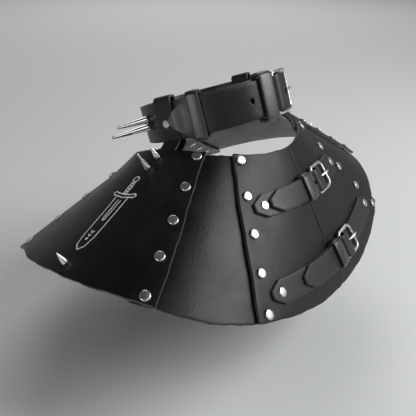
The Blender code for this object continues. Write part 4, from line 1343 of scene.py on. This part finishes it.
def make_billet(name, place, tip, end, heel_distance, cross):
    """Strap whose point goes through the buckle, with its holes."""
    second = GAP + STRAP_THICKNESS + WRAP_GAP
    level = fold_level(CLOSURE_WIRE)
    over_fold = GAP + 2.0 * level + WRAP_GAP
    lift = level * LIFT_HALF_SHARE
    rows = (
        (heel_distance - lift - LIFT_LENGTH, second),
        (heel_distance - lift, over_fold),
        (heel_distance + lift, over_fold),
        (cross + PRONG_FLAT_LENGTH, GAP),
    )
    bm = bmesh.new()
    make_strap_sheet(bm, place, tip, end, lambda s: table_value(s, rows) + STRAP_THICKNESS,
                     lambda s: min(pointed_half(s, tip), pointed_half(s, end)), CLOSURE_STEP)
    billet = add_hide(name + "_billet_hide", bm, STRAP_THICKNESS, 0.0005, (name + "_billet",))
    bm = bmesh.new()
    add_slot(bm, place, cross, CLOSURE_WIDTH / 2.0, CLOSURE_WIRE)
    add_pin(bm, route_frame(place, heel_distance - SPARE_HOLE_DISTANCE), SPARE_HOLE_RADIUS,
            second, second + 2.0 * STRAP_THICKNESS, HOLE_SIDES)
    cut_with(billet, bm, name + "_holes")


def make_closure(name, left, right, sag, tip, keeper, heel_distance):
    """One back strap: chape with its keeper, buckle, billet and rivets."""
    place, total = closure_route(left, right, sag)
    heel = (heel_distance, GAP + fold_level(CLOSURE_WIRE))
    front = (heel_distance + CLOSURE_BUCKLE_LENGTH, 2.0 * GAP + STRAP_THICKNESS + CLOSURE_WIRE)
    cross = heel_distance + CLOSURE_CROSS
    make_chape(name, place, -CLOSURE_END, heel, keeper)
    make_billet(name, place, tip, total + CLOSURE_END, heel_distance, cross)
    make_buckle(name + "_buckle", place, heel, front, CLOSURE_WIDTH / 2.0, CLOSURE_WIRE, cross)
    bm = bmesh.new()
    face = Matrix.Translation((0.0, 0.0, GAP + STRAP_THICKNESS))
    for distance in (0.0, total):
        add_strap_rivet(bm, route_frame(place, distance) @ face, *CLOSURE_RIVET)
    add_metal(name + "_rivets", bm, "nickel")


# Floor, lights and camera

FLOOR_HEIGHT = -0.175
# Rows: name, place, target, size, power and colour
LIGHTS = (
    ("window", (-0.52, 1.02, 0.74), (0.0, 0.0, -0.02), (0.85, 0.9), 14.0, (0.97, 1.0, 0.99)),
    ("second window", (0.50, 1.20, 1.15), (0.0, 0.0, -0.02), (0.8, 0.8), 3.4,
     (0.96, 1.0, 0.99)),
    ("side window", (1.45, 0.0, 0.12), (0.0, 0.0, -0.02), (0.5, 0.9), 4.0,
     (1.0, 0.98, 0.96)),
    ("far light", (-2.3, -1.5, 2.2), (-1.6, -1.0, -0.2), (2.0, 2.0), 38.0, (1.0, 1.0, 1.0)),
)
SKY_TONES = ((0.0, 0.30), (0.50, 0.10), (0.95, 0.06))
# Azimuth, elevation and roll; then distance, and shift to the right and up
CAMERA_ANGLES = (122.66, 25.81, 1.20)
CAMERA_DISTANCE = 0.50202
CAMERA_SHIFT = (-0.0081, -0.06597)


def make_floor():
    """Wide pale floor below the piece."""
    bm = bmesh.new()
    bmesh.ops.create_grid(bm, x_segments=1, y_segments=1, size=8.0,
                          matrix=Matrix.Translation((0.0, 0.0, FLOOR_HEIGHT)))
    floor = bpy.data.objects.new("floor", smooth_data(bm, "floor"))
    bpy.context.scene.collection.objects.link(floor)
    material = bpy.data.materials.new("pale_floor")
    material.use_nodes = True
    shader = material.node_tree.nodes["Principled BSDF"]
    shader.inputs["Base Color"].default_value = (0.80, 0.80, 0.81, 1.0)
    shader.inputs["Roughness"].default_value = 0.8
    floor.data.materials.append(material)
    floor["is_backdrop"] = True


def add_light(name, place, target, size, power, colour):
    """Soft rectangular light at a place, aimed at a target."""
    data = bpy.data.lights.new(name, "AREA")
    data.shape = "RECTANGLE"
    data.size, data.size_y = size
    data.energy = power
    data.color = colour
    item = bpy.data.objects.new(name, data)
    item.location = place
    aim = Vector(target) - Vector(place)
    item.rotation_euler = aim.to_track_quat("-Z", "Y").to_euler()
    bpy.context.scene.collection.objects.link(item)


def make_lights():
    """Window light from behind the wearer's right, and weaker lights."""
    for row in LIGHTS:
        add_light(*row)


def make_sky():
    """Dim sky, darker towards its top."""
    world = bpy.data.worlds.new("studio")
    world.use_nodes = True
    tree = world.node_tree
    where = new_node(tree, "ShaderNodeTexCoord", (-900, 0)).outputs["Generated"]
    parts = new_node(tree, "ShaderNodeSeparateXYZ", (-700, 0), Vector=where)
    tone = ramp(tree, (-480, 0), parts.outputs["Z"], SKY_TONES)
    feed(tree, tone, tree.nodes["Background"].inputs["Color"])
    bpy.context.scene.world = world
    bpy.context.scene.view_settings.view_transform = "Standard"


def make_camera():
    """Camera at the photograph's angle, distance and lens."""
    azimuth, elevation, roll = (math.radians(angle) for angle in CAMERA_ANGLES)
    back = Vector((math.sin(azimuth) * math.cos(elevation),
                   -math.cos(azimuth) * math.cos(elevation), math.sin(elevation)))
    right = Vector((math.cos(azimuth), math.sin(azimuth), 0.0))
    up = back.cross(right)
    x_axis = right * math.cos(roll) + up * math.sin(roll)
    y_axis = up * math.cos(roll) - right * math.sin(roll)
    matrix = Matrix((x_axis, y_axis, back)).transposed().to_4x4()
    shift_right, shift_up = CAMERA_SHIFT
    matrix.translation = back * CAMERA_DISTANCE + right * shift_right + up * shift_up
    data = bpy.data.cameras.new("camera")
    data.sensor_width = 36.0
    data.lens = 48.07
    data.clip_start = 0.01
    camera = bpy.data.objects.new("camera", data)
    camera.matrix_world = matrix
    bpy.context.scene.collection.objects.link(camera)
    bpy.context.scene.camera = camera


make_camera()
make_lights()
make_sky()
make_floor()
make_mantle()
for label, _ in SIDES:
    make_sword(label)
make_collar()
for label, direction in SIDES:
    make_hanger(label, direction)
for closure in CLOSURES:
    make_closure(*closure)

[[list(corner) for corner in box] for box in (cad_box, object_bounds())]
